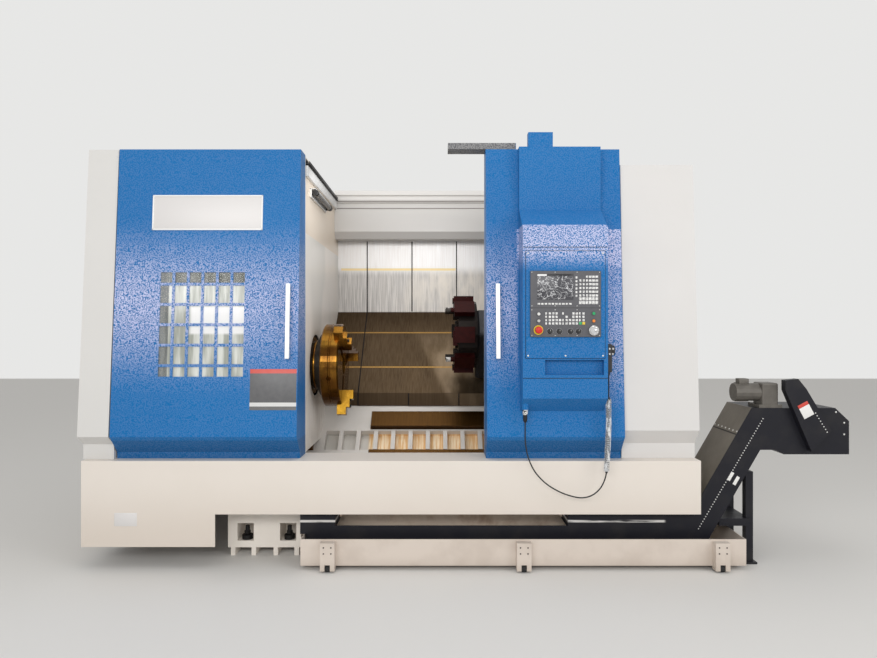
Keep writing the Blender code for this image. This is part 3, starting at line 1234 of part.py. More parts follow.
# Hand pendant on the console's side, with its cord
PENDANT_BOTTOM = 1.178
PENDANT_HEIGHT = 0.165
PENDANT_THICKNESS = 0.03
PENDANT_DEPTH = 0.075
PENDANT_SETBACK = -0.105
PENDANT_DIAL_RADIUS = 0.03
PENDANT_DIAL_REACH = 0.018
PENDANT_ROUNDING = 0.006
GLAND_RADIUS = 0.008
GLAND_LENGTH = 0.02
CORD_RADIUS = 0.004
CURLY_RADIUS = 0.015
CONNECTOR_RADIUS = 0.016
CONNECTOR_LENGTH = 0.075
CONNECTOR_NUT_SHARE = 0.35
CONNECTOR_CORE_SHARE = 0.8
CORD_SPACING = 0.035
GLAND_X_SHARE = 0.6


def gland_place():
    x = CONSOLE_RIGHT + SEAT_GAP + PENDANT_THICKNESS * GLAND_X_SHARE
    y = FRONT_Y + PENDANT_SETBACK + PENDANT_DEPTH / 2
    return Vector((x, y, PENDANT_BOTTOM - GLAND_LENGTH))


def connector_place():
    x = CONSOLE_LEFT + CONNECTOR_INSET + SHEET
    return Vector((x, FRONT_Y + CONNECTOR_SETBACK, CONNECTOR_TOP - SEAT_GAP))


def hand_pendant():
    left = CONSOLE_RIGHT + SEAT_GAP
    front = FRONT_Y + PENDANT_SETBACK
    body = block("body", (left, front, PENDANT_BOTTOM),
                 (left + PENDANT_THICKNESS, front + PENDANT_DEPTH, PENDANT_BOTTOM + PENDANT_HEIGHT))
    body = rounded(body, PENDANT_ROUNDING)
    dial_y = front + PENDANT_DEPTH / 2
    dial_z = PENDANT_BOTTOM + PENDANT_HEIGHT - PENDANT_DEPTH / 2
    dial = rod("dial", (left + PENDANT_THICKNESS / 2, dial_y, dial_z),
               (left + PENDANT_THICKNESS + PENDANT_DIAL_REACH, dial_y, dial_z), PENDANT_DIAL_RADIUS)
    gland = rod("gland", gland_place(), gland_place() + Vector((0, 0, GLAND_LENGTH + PENDANT_ROUNDING * 2)),
                GLAND_RADIUS, COARSE_STEPS)
    finish(join(body, dial, gland), "hand_pendant", BLACK, 0.45, 0)


def pendant_connector():
    top = connector_place()
    length = CONNECTOR_LENGTH
    nut = CONNECTOR_RADIUS
    core = CONNECTOR_RADIUS * CONNECTOR_CORE_SHARE
    profile = [(0, 0), (nut, 0), (nut, -length * CONNECTOR_NUT_SHARE),
               (core, -length * CONNECTOR_NUT_SHARE),
               (core, -length * (1 - CONNECTOR_NUT_SHARE / 2)), (CORD_RADIUS * 2, -length), (0, -length)]
    connector = turned("connector", profile, top, (0, 0, 1), SMALL_STEPS)
    finish(connector, "pendant_connector", STEEL, 0.35, 0.8, smooth=True)


CURVE_PARTS = 16


def smooth_route(points, spacing):
    """Points at an even spacing along a Catmull-Rom curve through the route's own points."""
    route = [Vector(point) for point in points]
    route = [2 * route[0] - route[1]] + route + [2 * route[-1] - route[-2]]
    fine = []
    for before, start, end, after in zip(route, route[1:], route[2:], route[3:]):
        for part in range(CURVE_PARTS):
            t = part / CURVE_PARTS
            bend = 2 * before - 5 * start + 4 * end - after
            twist = 3 * start - before - 3 * end + after
            fine.append((2 * start + (end - before) * t + bend * t * t + twist * t * t * t) / 2)
    fine.append(route[-2])
    total = sum((b - a).length for a, b in zip(fine, fine[1:]))
    count = max(2, round(total / spacing))
    even = [fine[0]]
    walked = 0
    target = total / count
    for a, b in zip(fine, fine[1:]):
        step = (b - a).length
        while walked + step >= target * len(even) and len(even) < count:
            even.append(a.lerp(b, (target * len(even) - walked) / step))
        walked += step
    even.append(fine[-1])
    return even


# Routes of the cord, as places right of the console's left side, behind the base sheet and above the floor
CURLY_ROUTE = [(0.5093, -0.0675, 1.02), (0.5083, -0.069, 0.88), (0.503, -0.072, 0.74), (0.495, -0.075, 0.6)]
CORD_ROUTE = [(0.489, -0.076, 0.565), (0.475, -0.077, 0.529), (0.4525, -0.077, 0.493),
              (0.41, -0.076, 0.459),
              (0.3525, -0.074, 0.444), (0.285, -0.072, 0.455), (0.212, -0.069, 0.4826),
              (0.139, -0.066, 0.529),
              (0.0767, -0.063, 0.597), (0.039, -0.061, 0.68), (0.0235, -0.06, 0.7637), (0.022, -0.06, 0.83)]


def cord_places(route):
    return [Vector((CONSOLE_LEFT + x, FRONT_Y + y, z)) for x, y, z in route]


def pendant_cord():
    """The cord in three stretches: a lead, the curly part as one fat tube, and the long hanging end."""
    down = Vector((0, 0, -SEAT_GAP))
    curly = cord_places(CURLY_ROUTE)
    curly_heading = (curly[1] - curly[0]).normalized()
    curly_end = (curly[-1] - curly[-2]).normalized()
    lead = [gland_place() + 2 * down, curly[0] - curly_heading * 2 * SEAT_GAP]
    connector_end = connector_place() - Vector((0, 0, CONNECTOR_LENGTH)) + down
    cord = [curly[-1] + curly_end * 2 * SEAT_GAP] + cord_places(CORD_ROUTE) + [connector_end]
    stretches = (("pendant_lead", lead, CORD_RADIUS, CORD_SPACING / 3),
                 ("pendant_curly_cord", curly, CURLY_RADIUS, CORD_SPACING),
                 ("pendant_cord", cord, CORD_RADIUS, CORD_SPACING / 2))
    for name, route, radius, spacing in stretches:
        finish(tube_along(name, smooth_route(route, spacing), radius), name, BLACK, 0.6, 0)


# Coolant tank on small wheels
TANK_INSET = 1.327
TANK_LENGTH = 2.641
TANK_REACH = 0.02
TANK_DEPTH = 0.56
TANK_BOTTOM = 0.028
TANK_TOP = 0.184
TANK_WALL = 0.005
BRACKET_INSETS = (0.1665, 1.3195, 2.483)
BRACKET_WIDTH = 0.085
BRACKET_DEPTH = 0.05
BRACKET_BOTTOM = 0.012
BRACKET_TOP = 0.176
WHEEL_RADIUS = 0.022
WHEEL_WIDTH = 0.025
WHEEL_SLOT = 0.032
AXLE_RADIUS = 0.006
AXLE_LENGTH = 0.07
TANK_LEFT = LEFT_X + TANK_INSET
TANK_RIGHT = TANK_LEFT + TANK_LENGTH
TANK_FRONT = FRONT_Y - TANK_REACH
TANK_BACK = TANK_FRONT + TANK_DEPTH


def wheel_rows():
    """The wheels' places: three in front, and two at the back on one long axle."""
    front = TANK_FRONT - BRACKET_DEPTH / 2
    back = TANK_BACK + BRACKET_DEPTH / 2
    fronts = [Vector((TANK_LEFT + inset, front, WHEEL_RADIUS)) for inset in BRACKET_INSETS]
    backs = [Vector((TANK_LEFT + inset, back, WHEEL_RADIUS)) for inset in (BRACKET_INSETS[0],
                                                                           BRACKET_INSETS[-1])]
    return fronts, backs


def coolant_tank():
    tank = shell("tank", (TANK_LEFT, TANK_FRONT, TANK_BOTTOM), (TANK_RIGHT, TANK_BACK, TANK_TOP), ("+Z",),
                 TANK_WALL)
    fronts, backs = wheel_rows()
    half = BRACKET_WIDTH / 2
    slot_half = WHEEL_SLOT / 2
    sunk = TANK_WALL / 2
    cutters = []
    for place, wall, outward in [(place, TANK_FRONT, -1) for place in fronts] + [(place, TANK_BACK,
                                                                                  1) for place in backs]:
        near, far = sorted((wall + outward * BRACKET_DEPTH, wall - outward * sunk))
        bracket = block("bracket", (place.x - half, near, BRACKET_BOTTOM),
                        (place.x + half, far, BRACKET_TOP))
        tank = join(tank, bracket)
        near, far = sorted((wall + outward * (BRACKET_DEPTH + OVERRUN), wall + outward * sunk))
        cutters.append(block("slot", (place.x - slot_half, near, 0),
                             (place.x + slot_half, far, 2 * WHEEL_RADIUS + SHEET)))
        cutters.append(rod("bore", (place.x - half - OVERRUN, place.y, place.z),
                           (place.x + half + OVERRUN, place.y, place.z), AXLE_RADIUS + SEAT_GAP))
    for cutter in cutters:
        tank = cut(tank, cutter)
    finish(tank, "coolant_tank", OFF_WHITE, 0.45, 0)
    for number, place in enumerate(fronts, 1):
        wheel = rod("wheel", place - Vector((WHEEL_WIDTH / 2, 0, 0)),
                    place + Vector((WHEEL_WIDTH / 2, 0, 0)),
                    WHEEL_RADIUS)
        axle = rod("axle", place - Vector((AXLE_LENGTH / 2, 0, 0)), place + Vector((AXLE_LENGTH / 2, 0, 0)),
                   AXLE_RADIUS - SEAT_GAP)
        finish(join(wheel, axle), f"tank_wheel_{number}", BLACK, 0.5, 0, pivot=place, smooth=True)
    axle = rod("axle", backs[0] - Vector((AXLE_LENGTH / 2, 0, 0)),
               backs[1] + Vector((AXLE_LENGTH / 2, 0, 0)),
               AXLE_RADIUS - SEAT_GAP)
    for place in backs:
        wheel = rod("wheel", place - Vector((WHEEL_WIDTH / 2, 0, 0)),
                    place + Vector((WHEEL_WIDTH / 2, 0, 0)),
                    WHEEL_RADIUS)
        axle = join(axle, wheel)
    finish(axle, "tank_rear_wheels", BLACK, 0.5, 0, pivot=backs[0], smooth=True)


# Chip conveyor in the tank, rising at the machine's right end
CONVEYOR_SETBACK = 0.08
CONVEYOR_WIDTH = 0.34
TROUGH_TOP = 0.235
HOOD_TOP = 0.3
LEFT_HOOD_LENGTH = 0.19
RIGHT_HOOD_LENGTH = 0.742
TAIL_OVERHANG = 0.036
INCLINE = math.radians(60)
INCLINE_THICKNESS = 0.172
INCLINE_START = 0.01
CONVEYOR_WALL = 0.006
HEAD_TOP = 0.95
HEAD_BOTTOM = 0.6685
HEAD_NECK = 0.6953
HEAD_NECK_LENGTH = 0.09
HEAD_NECK_SLOPE = 0.053
HEAD_CORNER_RUN = 0.084
HEAD_CORNER_DROP = 0.08
GUARD_THICKNESS = 0.045
GUARD_SHARES = ((0, 0.86), (0, 1), (0.28, 1.02), (0.46, 0.875), (1, 0.29), (0.57, 0))
GUARD_LEFT_FROM_END = 0.41
GUARD_WIDTH = 0.277
GUARD_LOW = 0.6914
GUARD_HEIGHT = 0.43
CHUTE_LENGTH = 0.3
CHUTE_END_WALL = 0.03
LEG_SIZE = 0.045
LEG_FROM_END = 0.62
LEG_BRACE_HEIGHT = 0.276
FOOT_PLATE = 0.08
FOOT_PLATE_THICKNESS = 0.012
BELT_SIDE_CLEARANCE = 0.012
BELT_DEPTH = 0.09
BELT_SHEET = 0.006
GEARBOX_LENGTH = 0.1
GEARBOX_HEIGHT = 0.15
GEARBOX_DEPTH = 0.12
GEARMOTOR_RADIUS = 0.055
GEARMOTOR_LENGTH = 0.15
GEARMOTOR_BASE = 0.02
GEARBOX_FROM_END = 0.525
HEAD_END = OVERALL_LENGTH / 2


def conveyor_front():
    return FRONT_Y + CONVEYOR_SETBACK


def conveyor_back():
    return conveyor_front() + CONVEYOR_WIDTH


def inset_outline(outline, distance):
    """An outline moved inwards by a distance; its points run anticlockwise."""
    moved = []
    count = len(outline)
    for index in range(count):
        before = Vector(outline[index - 1])
        here = Vector(outline[index])
        after = Vector(outline[(index + 1) % count])
        first = (here - before).normalized()
        second = (after - here).normalized()
        first_normal = Vector((-first.y, first.x))
        second_normal = Vector((-second.y, second.x))
        turn = first_normal + second_normal
        moved.append(tuple(here + turn * (distance / (1 + first_normal.dot(second_normal)))))
    return moved


def conveyor_outline():
    """The housing's side outline, anticlockwise from the tail in the tank."""
    floor = TANK_BOTTOM + TANK_WALL + SEAT_GAP
    tail = TANK_LEFT + TANK_WALL + RUNNING_GAP
    shelf = TANK_TOP + SEAT_GAP
    low_bend = RIGHT_X + INCLINE_START
    rise = math.tan(INCLINE)
    neck_x = low_bend + (HEAD_NECK - floor) / rise
    sideways = INCLINE_THICKNESS / math.sin(INCLINE)
    top_x = neck_x - sideways + (HEAD_TOP - HEAD_NECK) / rise
    hood_x = low_bend - sideways + (HOOD_TOP - floor) / rise
    left_hood = TANK_LEFT + LEFT_HOOD_LENGTH
    right_hood = hood_x - RIGHT_HOOD_LENGTH
    return [(tail - TAIL_OVERHANG, shelf), (tail, shelf), (tail, floor), (low_bend, floor),
            (neck_x, HEAD_NECK),
            (neck_x + HEAD_NECK_LENGTH, HEAD_NECK),
            (neck_x + HEAD_NECK_LENGTH + HEAD_NECK_SLOPE, HEAD_BOTTOM),
            (HEAD_END, HEAD_BOTTOM), (HEAD_END, HEAD_TOP - HEAD_CORNER_DROP),
            (HEAD_END - HEAD_CORNER_RUN, HEAD_TOP),
            (top_x, HEAD_TOP), (hood_x, HOOD_TOP), (right_hood, HOOD_TOP), (right_hood, TROUGH_TOP),
            (left_hood, TROUGH_TOP), (left_hood, HOOD_TOP), (tail - TAIL_OVERHANG, HOOD_TOP)]


def conveyor_housing():
    front = conveyor_front()
    back = conveyor_back()
    outline = conveyor_outline()
    housing = prism("housing", outline, "Y", front, back)
    inside = prism("inside", inset_outline(outline, CONVEYOR_WALL), "Y", front + CONVEYOR_WALL,
                   back - CONVEYOR_WALL)
    left_hood = TANK_LEFT + LEFT_HOOD_LENGTH
    right_hood = outline[12][0]
    mouth = block("mouth", (left_hood + CONVEYOR_WALL, front + CONVEYOR_WALL, TROUGH_TOP - OVERRUN / 2),
                  (right_hood - CONVEYOR_WALL, back - CONVEYOR_WALL, TROUGH_TOP + OVERRUN))
    chute = block("chute", (HEAD_END - CHUTE_END_WALL - CHUTE_LENGTH, front + CONVEYOR_WALL,
                            HEAD_BOTTOM - OVERRUN),
                  (HEAD_END - CHUTE_END_WALL, back - CONVEYOR_WALL, HEAD_BOTTOM + OVERRUN / 2))
    housing = cut(housing, inside, mouth, chute)
    left = HEAD_END - GUARD_LEFT_FROM_END
    guard_outline = [(left + x * GUARD_WIDTH, GUARD_LOW + z * GUARD_HEIGHT) for x, z in GUARD_SHARES]
    guard = prism("guard", guard_outline[::-1], "Y", front - GUARD_THICKNESS, front + CONVEYOR_WALL / 2)
    leg_x = HEAD_END - LEG_FROM_END
    pieces = [guard]
    leg_top = outline[3][1] + (leg_x - outline[3][0]) * math.tan(INCLINE) + CONVEYOR_WALL / 2
    margin = (FOOT_PLATE - LEG_SIZE) / 2
    for leg_y in (front + margin, back - margin - LEG_SIZE):
        pieces.append(block("leg", (leg_x, leg_y, FOOT_PLATE_THICKNESS / 2),
                            (leg_x + LEG_SIZE, leg_y + LEG_SIZE, leg_top)))
        pieces.append(block("plate", (leg_x - margin, leg_y - margin, 0),
                            (leg_x + LEG_SIZE + margin, leg_y + LEG_SIZE + margin, FOOT_PLATE_THICKNESS)))
    brace_left = outline[3][0] + (LEG_BRACE_HEIGHT - outline[3][1]) / math.tan(INCLINE) - CONVEYOR_WALL / 2
    pieces.append(block("brace", (brace_left, front + margin / 2, LEG_BRACE_HEIGHT - LEG_SIZE),
                        (leg_x + LEG_SIZE / 2, back - margin / 2, LEG_BRACE_HEIGHT)))
    finish(join(housing, *pieces), "conveyor_housing", CHARCOAL, 0.5, 0.2)


def conveyor_belt():
    """The hinged belt as one endless band along the trough and up the incline."""
    outline = conveyor_outline()
    inner = CONVEYOR_WALL + BELT_SIDE_CLEARANCE
    rest = CONVEYOR_WALL + SEAT_GAP
    low_bend = Vector(outline[3])
    neck = Vector(outline[4])
    top = neck + (neck - low_bend).normalized() * BELT_DEPTH
    path = [Vector((outline[2][0], outline[2][1])), low_bend, top]
    sides = []
    for distance in (rest, rest + BELT_DEPTH):
        bend_shift = distance * math.tan(INCLINE / 2)
        normal = Vector((-math.sin(INCLINE), math.cos(INCLINE)))
        sides.append([(path[0].x + inner, path[0].y + distance),
                      (low_bend.x - bend_shift, low_bend.y + distance),
                      tuple(top + normal * distance)])
    band_outline = sides[0] + sides[1][::-1]
    front = conveyor_front() + inner
    back = conveyor_back() - inner
    band = prism("band", band_outline, "Y", front, back)
    hollow = prism("hollow", inset_outline(band_outline, BELT_SHEET), "Y", front - OVERRUN, back + OVERRUN)
    finish(cut(band, hollow), "conveyor_belt", STEEL, 0.5, 0.7)


def conveyor_gearmotor():
    left = HEAD_END - GEARBOX_FROM_END
    front = conveyor_front() + CONVEYOR_WALL
    base = HEAD_TOP + SEAT_GAP
    gearbox = block("gearbox", (left, front, base),
                    (left + GEARBOX_LENGTH, front + GEARBOX_DEPTH, base + GEARBOX_HEIGHT))
    gearbox = rounded(gearbox, GEARMOTOR_BASE / 2)
    axis_y = front + GEARBOX_DEPTH / 2
    axis_z = base + GEARBOX_HEIGHT - GEARMOTOR_RADIUS - SHEET
    motor = rod("motor", (left - GEARMOTOR_LENGTH, axis_y, axis_z),
                (left + GEARBOX_LENGTH / 2, axis_y, axis_z),
                GEARMOTOR_RADIUS)
    plate = block("plate", (left - GEARMOTOR_BASE, front - CONVEYOR_WALL / 2, base - SEAT_GAP / 2),
                  (left + GEARBOX_LENGTH + GEARMOTOR_BASE, front + GEARBOX_DEPTH + GEARMOTOR_BASE,
                   base + GEARMOTOR_BASE))
    finish(join(gearbox, motor, plate), "conveyor_gearmotor", CHARCOAL, 0.5, 0.3)


# Work lamp on the chamber's left wall
LAMP_START_SETBACK = 0.44
LAMP_LENGTH = 0.53
LAMP_HEIGHT = 2.33
LAMP_SIZE = 0.06
LAMP_TUBE_RADIUS = 0.02


def work_lamp():
    wall = DOORWAY_LEFT - WALL_INSET + SEAT_GAP
    start = FRONT_Y + LAMP_START_SETBACK
    end = start + LAMP_LENGTH
    half = LAMP_SIZE / 2
    outline = [(wall, LAMP_HEIGHT - half), (wall + half, LAMP_HEIGHT - half),
               (wall + LAMP_SIZE, LAMP_HEIGHT),
               (wall + LAMP_SIZE, LAMP_HEIGHT + half), (wall, LAMP_HEIGHT + half)]
    housing = prism("housing", outline, "Y", start, end)
    tube_x = wall + LAMP_SIZE / 2
    tube = rod("tube", (tube_x, start - LAMP_TUBE_RADIUS, LAMP_HEIGHT),
               (tube_x, end + LAMP_TUBE_RADIUS, LAMP_HEIGHT), LAMP_TUBE_RADIUS, SMALL_STEPS)
    finish(join(housing, tube), "work_lamp", PILLAR_WHITE, 0.4, 0)


def build_lathe():
    clear_scene()
    bed_casting()
    base_cover()
    left_cabinet()
    right_cabinet()
    rear_enclosure()
    headstock()
    spindle()
    chuck_body()
    chuck_jaws()
    main_motor()
    drive_belt()
    way_covers()
    saddle()
    cross_slide()
    turret_disc()
    z_ball_screw()
    tailstock()
    left_door()
    right_door()
    console_housing()
    console_cover()
    operator_panel()
    emergency_stop()
    push_buttons()
    knobs()
    handwheel()
    hand_pendant()
    pendant_connector()
    pendant_cord()
    coolant_tank()
    conveyor_housing()
    conveyor_belt()
    conveyor_gearmotor()
    work_lamp()


build_lathe()
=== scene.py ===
"""Looks of the turning lathe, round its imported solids, in metres, +Z up, front towards -Y."""
import math

import bmesh
import bpy
from mathutils import Matrix, Vector


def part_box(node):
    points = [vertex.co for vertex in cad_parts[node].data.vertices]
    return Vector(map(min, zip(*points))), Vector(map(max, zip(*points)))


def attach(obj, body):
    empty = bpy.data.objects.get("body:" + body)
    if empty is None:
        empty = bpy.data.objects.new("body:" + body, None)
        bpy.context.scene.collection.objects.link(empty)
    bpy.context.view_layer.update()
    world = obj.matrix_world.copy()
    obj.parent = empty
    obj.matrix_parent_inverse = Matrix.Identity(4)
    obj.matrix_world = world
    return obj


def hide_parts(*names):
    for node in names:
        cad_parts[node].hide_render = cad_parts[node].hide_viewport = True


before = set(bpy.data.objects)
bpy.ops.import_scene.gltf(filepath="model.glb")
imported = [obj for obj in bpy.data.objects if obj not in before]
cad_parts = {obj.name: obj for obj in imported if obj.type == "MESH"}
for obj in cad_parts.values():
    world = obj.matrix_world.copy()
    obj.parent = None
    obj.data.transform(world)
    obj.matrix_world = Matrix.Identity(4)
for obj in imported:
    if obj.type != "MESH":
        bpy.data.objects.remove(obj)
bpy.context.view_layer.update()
scene = bpy.context.scene
scene.view_settings.view_transform = "Standard"

# Camera: level and straight on, 1.43 m above the floor and about four metres in front of the base
# sheet, with the photograph's focal length of 650 pixels over its 877 pixels of width
def placed(name, data):
    """Put a camera, lamp, curve or mesh in the scene."""
    thing = bpy.data.objects.new(name, data)
    scene.collection.objects.link(thing)
    return thing


focal_pixels, picture_width = 650, 877
camera_data = bpy.data.cameras.new("camera")
camera_data.sensor_width = 36
camera_data.lens = focal_pixels / picture_width * camera_data.sensor_width
camera = placed("camera", camera_data)
camera.location = (-0.175, -4.739, 1.43)
camera.rotation_euler = (math.radians(90), 0, 0)
scene.camera = camera


# Pendant cord: a short lead from the pendant, a coiled stretch in a clear sleeve between two moulded
# collars, and a thin cable that hangs in a loop to its round connector under the console
class Socket:
    """A node's output that takes Python's operators, each of which adds a Math node."""

    def __init__(self, tree, link):
        self.tree = tree
        self.link = link

    def math(self, operation, *values):
        return self.tree.node("ShaderNodeMath", {"operation": operation}, [self, *values])

    def __add__(self, other): return self.math("ADD", other)
    def __sub__(self, other): return self.math("SUBTRACT", other)
    def __mul__(self, other): return self.math("MULTIPLY", other)
    def __pow__(self, other): return self.math("POWER", other)
    __radd__ = __add__
    __rmul__ = __mul__

    def __rsub__(self, other):
        return self.tree.node("ShaderNodeMath", {"operation": "SUBTRACT"}, [other, self])

    def above(self, edge, width):
        """0 below an edge and 1 past it, with a soft step of a width."""
        return self.tree.node("ShaderNodeMapRange", {"clamp": True, "interpolation_type": "SMOOTHSTEP"},
                              {"Value": self, "From Min": edge - width / 2, "From Max": edge + width / 2})

    def below(self, edge, width):
        return 1 - self.above(edge, width)

    def off(self, middle, half, soft):
        """0 within a band about a middle and 1 outside it."""
        return (self - middle).math("ABSOLUTE").above(half, soft)


class Tree:
    """A tree of shader nodes, all of which come from one method."""

    def __init__(self, tree):
        self.tree = tree

    def node(self, kind, settings, inputs, output=0):
        node = self.tree.nodes.new(kind)
        for key, value in settings.items():
            setattr(node, key, value)
        for key, value in inputs.items() if isinstance(inputs, dict) else enumerate(inputs):
            if isinstance(value, Socket):
                self.tree.links.new(value.link, node.inputs[key])
            else:
                node.inputs[key].default_value = value
        return Socket(self, node.outputs[output])


class Finish(Tree):
    """A material: constants on the shader's own sockets, and nodes only for what varies."""

    def __init__(self, name, colour, roughness, metallic=0, **constants):
        self.material = bpy.data.materials.new(name)
        self.material.use_nodes = True
        self.material.diffuse_color = (*colour, 1)
        super().__init__(self.material.node_tree)
        self.shader = self.tree.nodes["Principled BSDF"]
        constants.update({"Base Color": (*colour, 1), "Roughness": roughness, "Metallic": metallic})
        for socket, value in constants.items():
            self.shader.inputs[socket.replace("_", " ")].default_value = value
        self.place = self.node("ShaderNodeTexCoord", {}, {}, "Object")

    def axis(self, name):
        return self.node("ShaderNodeSeparateXYZ", {}, [self.place], name)

    def noise(self, scale, stretch=(1, 1, 1), detail=3, roughness=0.55):
        stretched = self.node("ShaderNodeMapping", {}, {"Vector": self.place, "Scale": stretch})
        return self.node("ShaderNodeTexNoise", {}, {"Vector": stretched, "Scale": scale, "Detail": detail,
                                                    "Roughness": roughness})

    def mix(self, mask, first, second):
        """A colour blend: the first where the mask is 0 and the second where it is 1."""
        first, second = (colour if isinstance(colour, Socket) else (*colour, 1) for colour in (first, second))
        return self.node("ShaderNodeMix", {"data_type": "RGBA"}, {0: mask, 6: first, 7: second}, 2)

    def put(self, socket, value):
        self.tree.links.new(value.link, self.shader.inputs[socket])

    def paint(self, mask, first, second):
        self.put("Base Color", self.mix(mask, first, second))

    def rough(self, least, spread, *grain):
        """A roughness that a grain raises from its least by up to a spread."""
        self.put("Roughness", least + spread * self.noise(*grain))

    def bump(self, height, strength, distance=0.001):
        self.put("Normal", self.node("ShaderNodeBump", {}, {"Height": height, "Strength": strength,
                                                            "Distance": distance}))

    def grain(self, scale, strength, distance=0.001, stretch=(1, 1, 1), detail=3):
        """A bump of fine grain, such as a casting's skin."""
        self.bump(self.noise(scale, stretch, detail), strength, distance)


def turned(profile, place, along, steps=24):
    """A turned shape from pairs of radius and reach, with its ends on its own axis."""
    work = bmesh.new()
    heading = Vector(along).normalized()
    side = heading.orthogonal().normalized()
    verts = [work.verts.new(Vector(place) + side * radius + heading * reach) for radius, reach in profile]
    edges = [work.edges.new(pair) for pair in zip(verts, verts[1:])]
    bmesh.ops.spin(work, geom=verts + edges, cent=place, axis=heading, angle=math.tau, steps=steps,
                   use_merge=True)
    bmesh.ops.remove_doubles(work, verts=work.verts, dist=1e-6)
    bmesh.ops.recalc_face_normals(work, faces=work.faces)
    return work


def joined(name, parts, finish):
    """Join parts into one object with a finish."""
    whole = bmesh.new()
    for part in parts:
        mesh = bpy.data.meshes.new("part")
        part.to_mesh(mesh)
        part.free()
        whole.from_mesh(mesh)
        bpy.data.meshes.remove(mesh)
    mesh = bpy.data.meshes.new(name)
    whole.to_mesh(mesh)
    whole.free()
    mesh.polygons.foreach_set("use_smooth", [True] * len(mesh.polygons))
    mesh.set_sharp_from_angle(angle=math.radians(35))
    mesh.materials.append(finish.material)
    return placed(name, mesh)


def made(name, parts, finish, body):
    """Join the parts of one piece, which rides on a body."""
    thing = joined(name, parts, finish)
    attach(thing, body)
    return thing


cord_rubber = Finish("cord_rubber", (0.012, 0.012, 0.013), 0.5)
cord_rubber.grain(900, 0.15)
console_low, console_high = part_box("console_housing")
base_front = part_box("base_cover")[0][1]
pendant_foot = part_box("hand_pendant")[0][2]
connector_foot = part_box("pendant_connector")[0][2]
cord_radius = 0.004
curly_radius = 0.015
joint_gap = 0.0006


def cord_place(x, y, z):
    """A place from the console's left side and the base sheet's front."""
    return Vector((console_low[0] + x, base_front + y, z))


def middle_of(node):
    return Vector([(low + high) / 2 for low, high in zip(*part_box(node))])


def route_length(points):
    return sum((b - a).length for a, b in zip(points, points[1:]))


def smooth_route(points, spacing, parts=16):
    """Points at an even spacing along a Catmull-Rom curve through the route's own points."""
    route = [2 * points[0] - points[1]] + points + [2 * points[-1] - points[-2]]
    fine = []
    for before, start, end, after in zip(route, route[1:], route[2:], route[3:]):
        for t in (part / parts for part in range(parts)):
            fine.append(0.5 * (2 * start + (end - before) * t
                               + (2 * before - 5 * start + 4 * end - after) * t * t
                               + (3 * start - before - 3 * end + after) * t * t * t))
    fine.append(route[-2])
    total = route_length(fine)
    count = max(2, round(total / spacing))
    even = [fine[0]]
    walked = 0
    target = total / count
    for a, b in zip(fine, fine[1:]):
        step = (b - a).length
        while walked + step >= target * len(even) and len(even) < count:
            even.append(a.lerp(b, (target * len(even) - walked) / step))
        walked += step
    even.append(fine[-1])
    return even


def cable(name, points, radius, resolution=3):
    curve = bpy.data.curves.new(name, "CURVE")
    curve.dimensions = "3D"
    curve.bevel_depth = radius
    curve.bevel_resolution = resolution
    curve.use_fill_caps = True
    spline = curve.splines.new("POLY")
    spline.points.add(len(points) - 1)
    for point, place in zip(spline.points, points):
        point.co = (*place, 1)
    spline.use_smooth = True
    curve.materials.append(cord_rubber.material)
    return placed(name, curve)


curly_route = [cord_place(*spot) for spot in (
    (0.5093, -0.0675, 1.02), (0.5083, -0.069, 0.88), (0.503, -0.072, 0.74), (0.495, -0.075, 0.6))]
loop_route = [cord_place(*spot) for spot in (
    (0.489, -0.076, 0.565), (0.475, -0.077, 0.529), (0.4525, -0.077, 0.493), (0.41, -0.076, 0.459),
    (0.3525, -0.074, 0.444), (0.285, -0.072, 0.455), (0.212, -0.069, 0.4826), (0.139, -0.066, 0.529),
    (0.0767, -0.063, 0.597), (0.039, -0.061, 0.68), (0.0235, -0.06, 0.7637), (0.022, -0.06, 0.83))]
gland = cord_place(0.5093, -0.0675, pendant_foot - joint_gap)
connector = middle_of("pendant_connector")
connector.z = connector_foot - joint_gap
curly_heading = (curly_route[1] - curly_route[0]).normalized()
curly_end = (curly_route[-1] - curly_route[-2]).normalized()
lead_points = smooth_route([gland, curly_route[0] - curly_heading * joint_gap], 0.012)
loop_points = smooth_route([curly_route[-1] + curly_end * joint_gap] + loop_route + [connector], 0.0175)
curly_points = smooth_route(curly_route, 0.035)

lead = cable("pendant_lead_cable", lead_points, cord_radius)
loop = cable("pendant_loop_cable", loop_points, cord_radius)

turns, per_turn = 34, 12
strand_radius = 0.0032
taper_turns = 1.5
coil_points = []
for step in range(turns * per_turn + 1):
    share = step / (turns * per_turn)
    along = share * (len(curly_points) - 1)
    index = min(int(along), len(curly_points) - 2)
    here = curly_points[index].lerp(curly_points[index + 1], along - index)
    angle = math.tau * step / per_turn
    end_taper = min(1, share * turns / taper_turns, (1 - share) * turns / taper_turns)
    reach = (curly_radius - strand_radius) * end_taper
    coil_points.append(here + Vector((reach * math.cos(angle), reach * math.sin(angle), 0)))
coil_curve = cable("pendant_coil", coil_points, strand_radius, 2)
coil_mesh = bpy.data.meshes.new_from_object(coil_curve.evaluated_get(bpy.context.evaluated_depsgraph_get()))
bpy.data.objects.remove(coil_curve)
coil = placed("pendant_coil_cable", coil_mesh)
for piece, node in ((lead, "pendant_lead"), (loop, "pendant_cord"), (coil, "pendant_curly_cord")):
    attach(piece, "right_door")
    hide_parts(node)
collar_profile = [(0.0042, -0.012), (0.0062, -0.0115), (0.0085, 0.001), (0.0095, 0.009), (0.0085, 0.0125),
                  (0.0042, 0.0125), (0.0042, -0.012)]
for name, place, heading in (("upper_collar", curly_points[0], curly_heading),
                             ("lower_collar", curly_points[-1], -curly_end)):
    made(name, [turned(collar_profile, place, heading)], cord_rubber, "right_door")


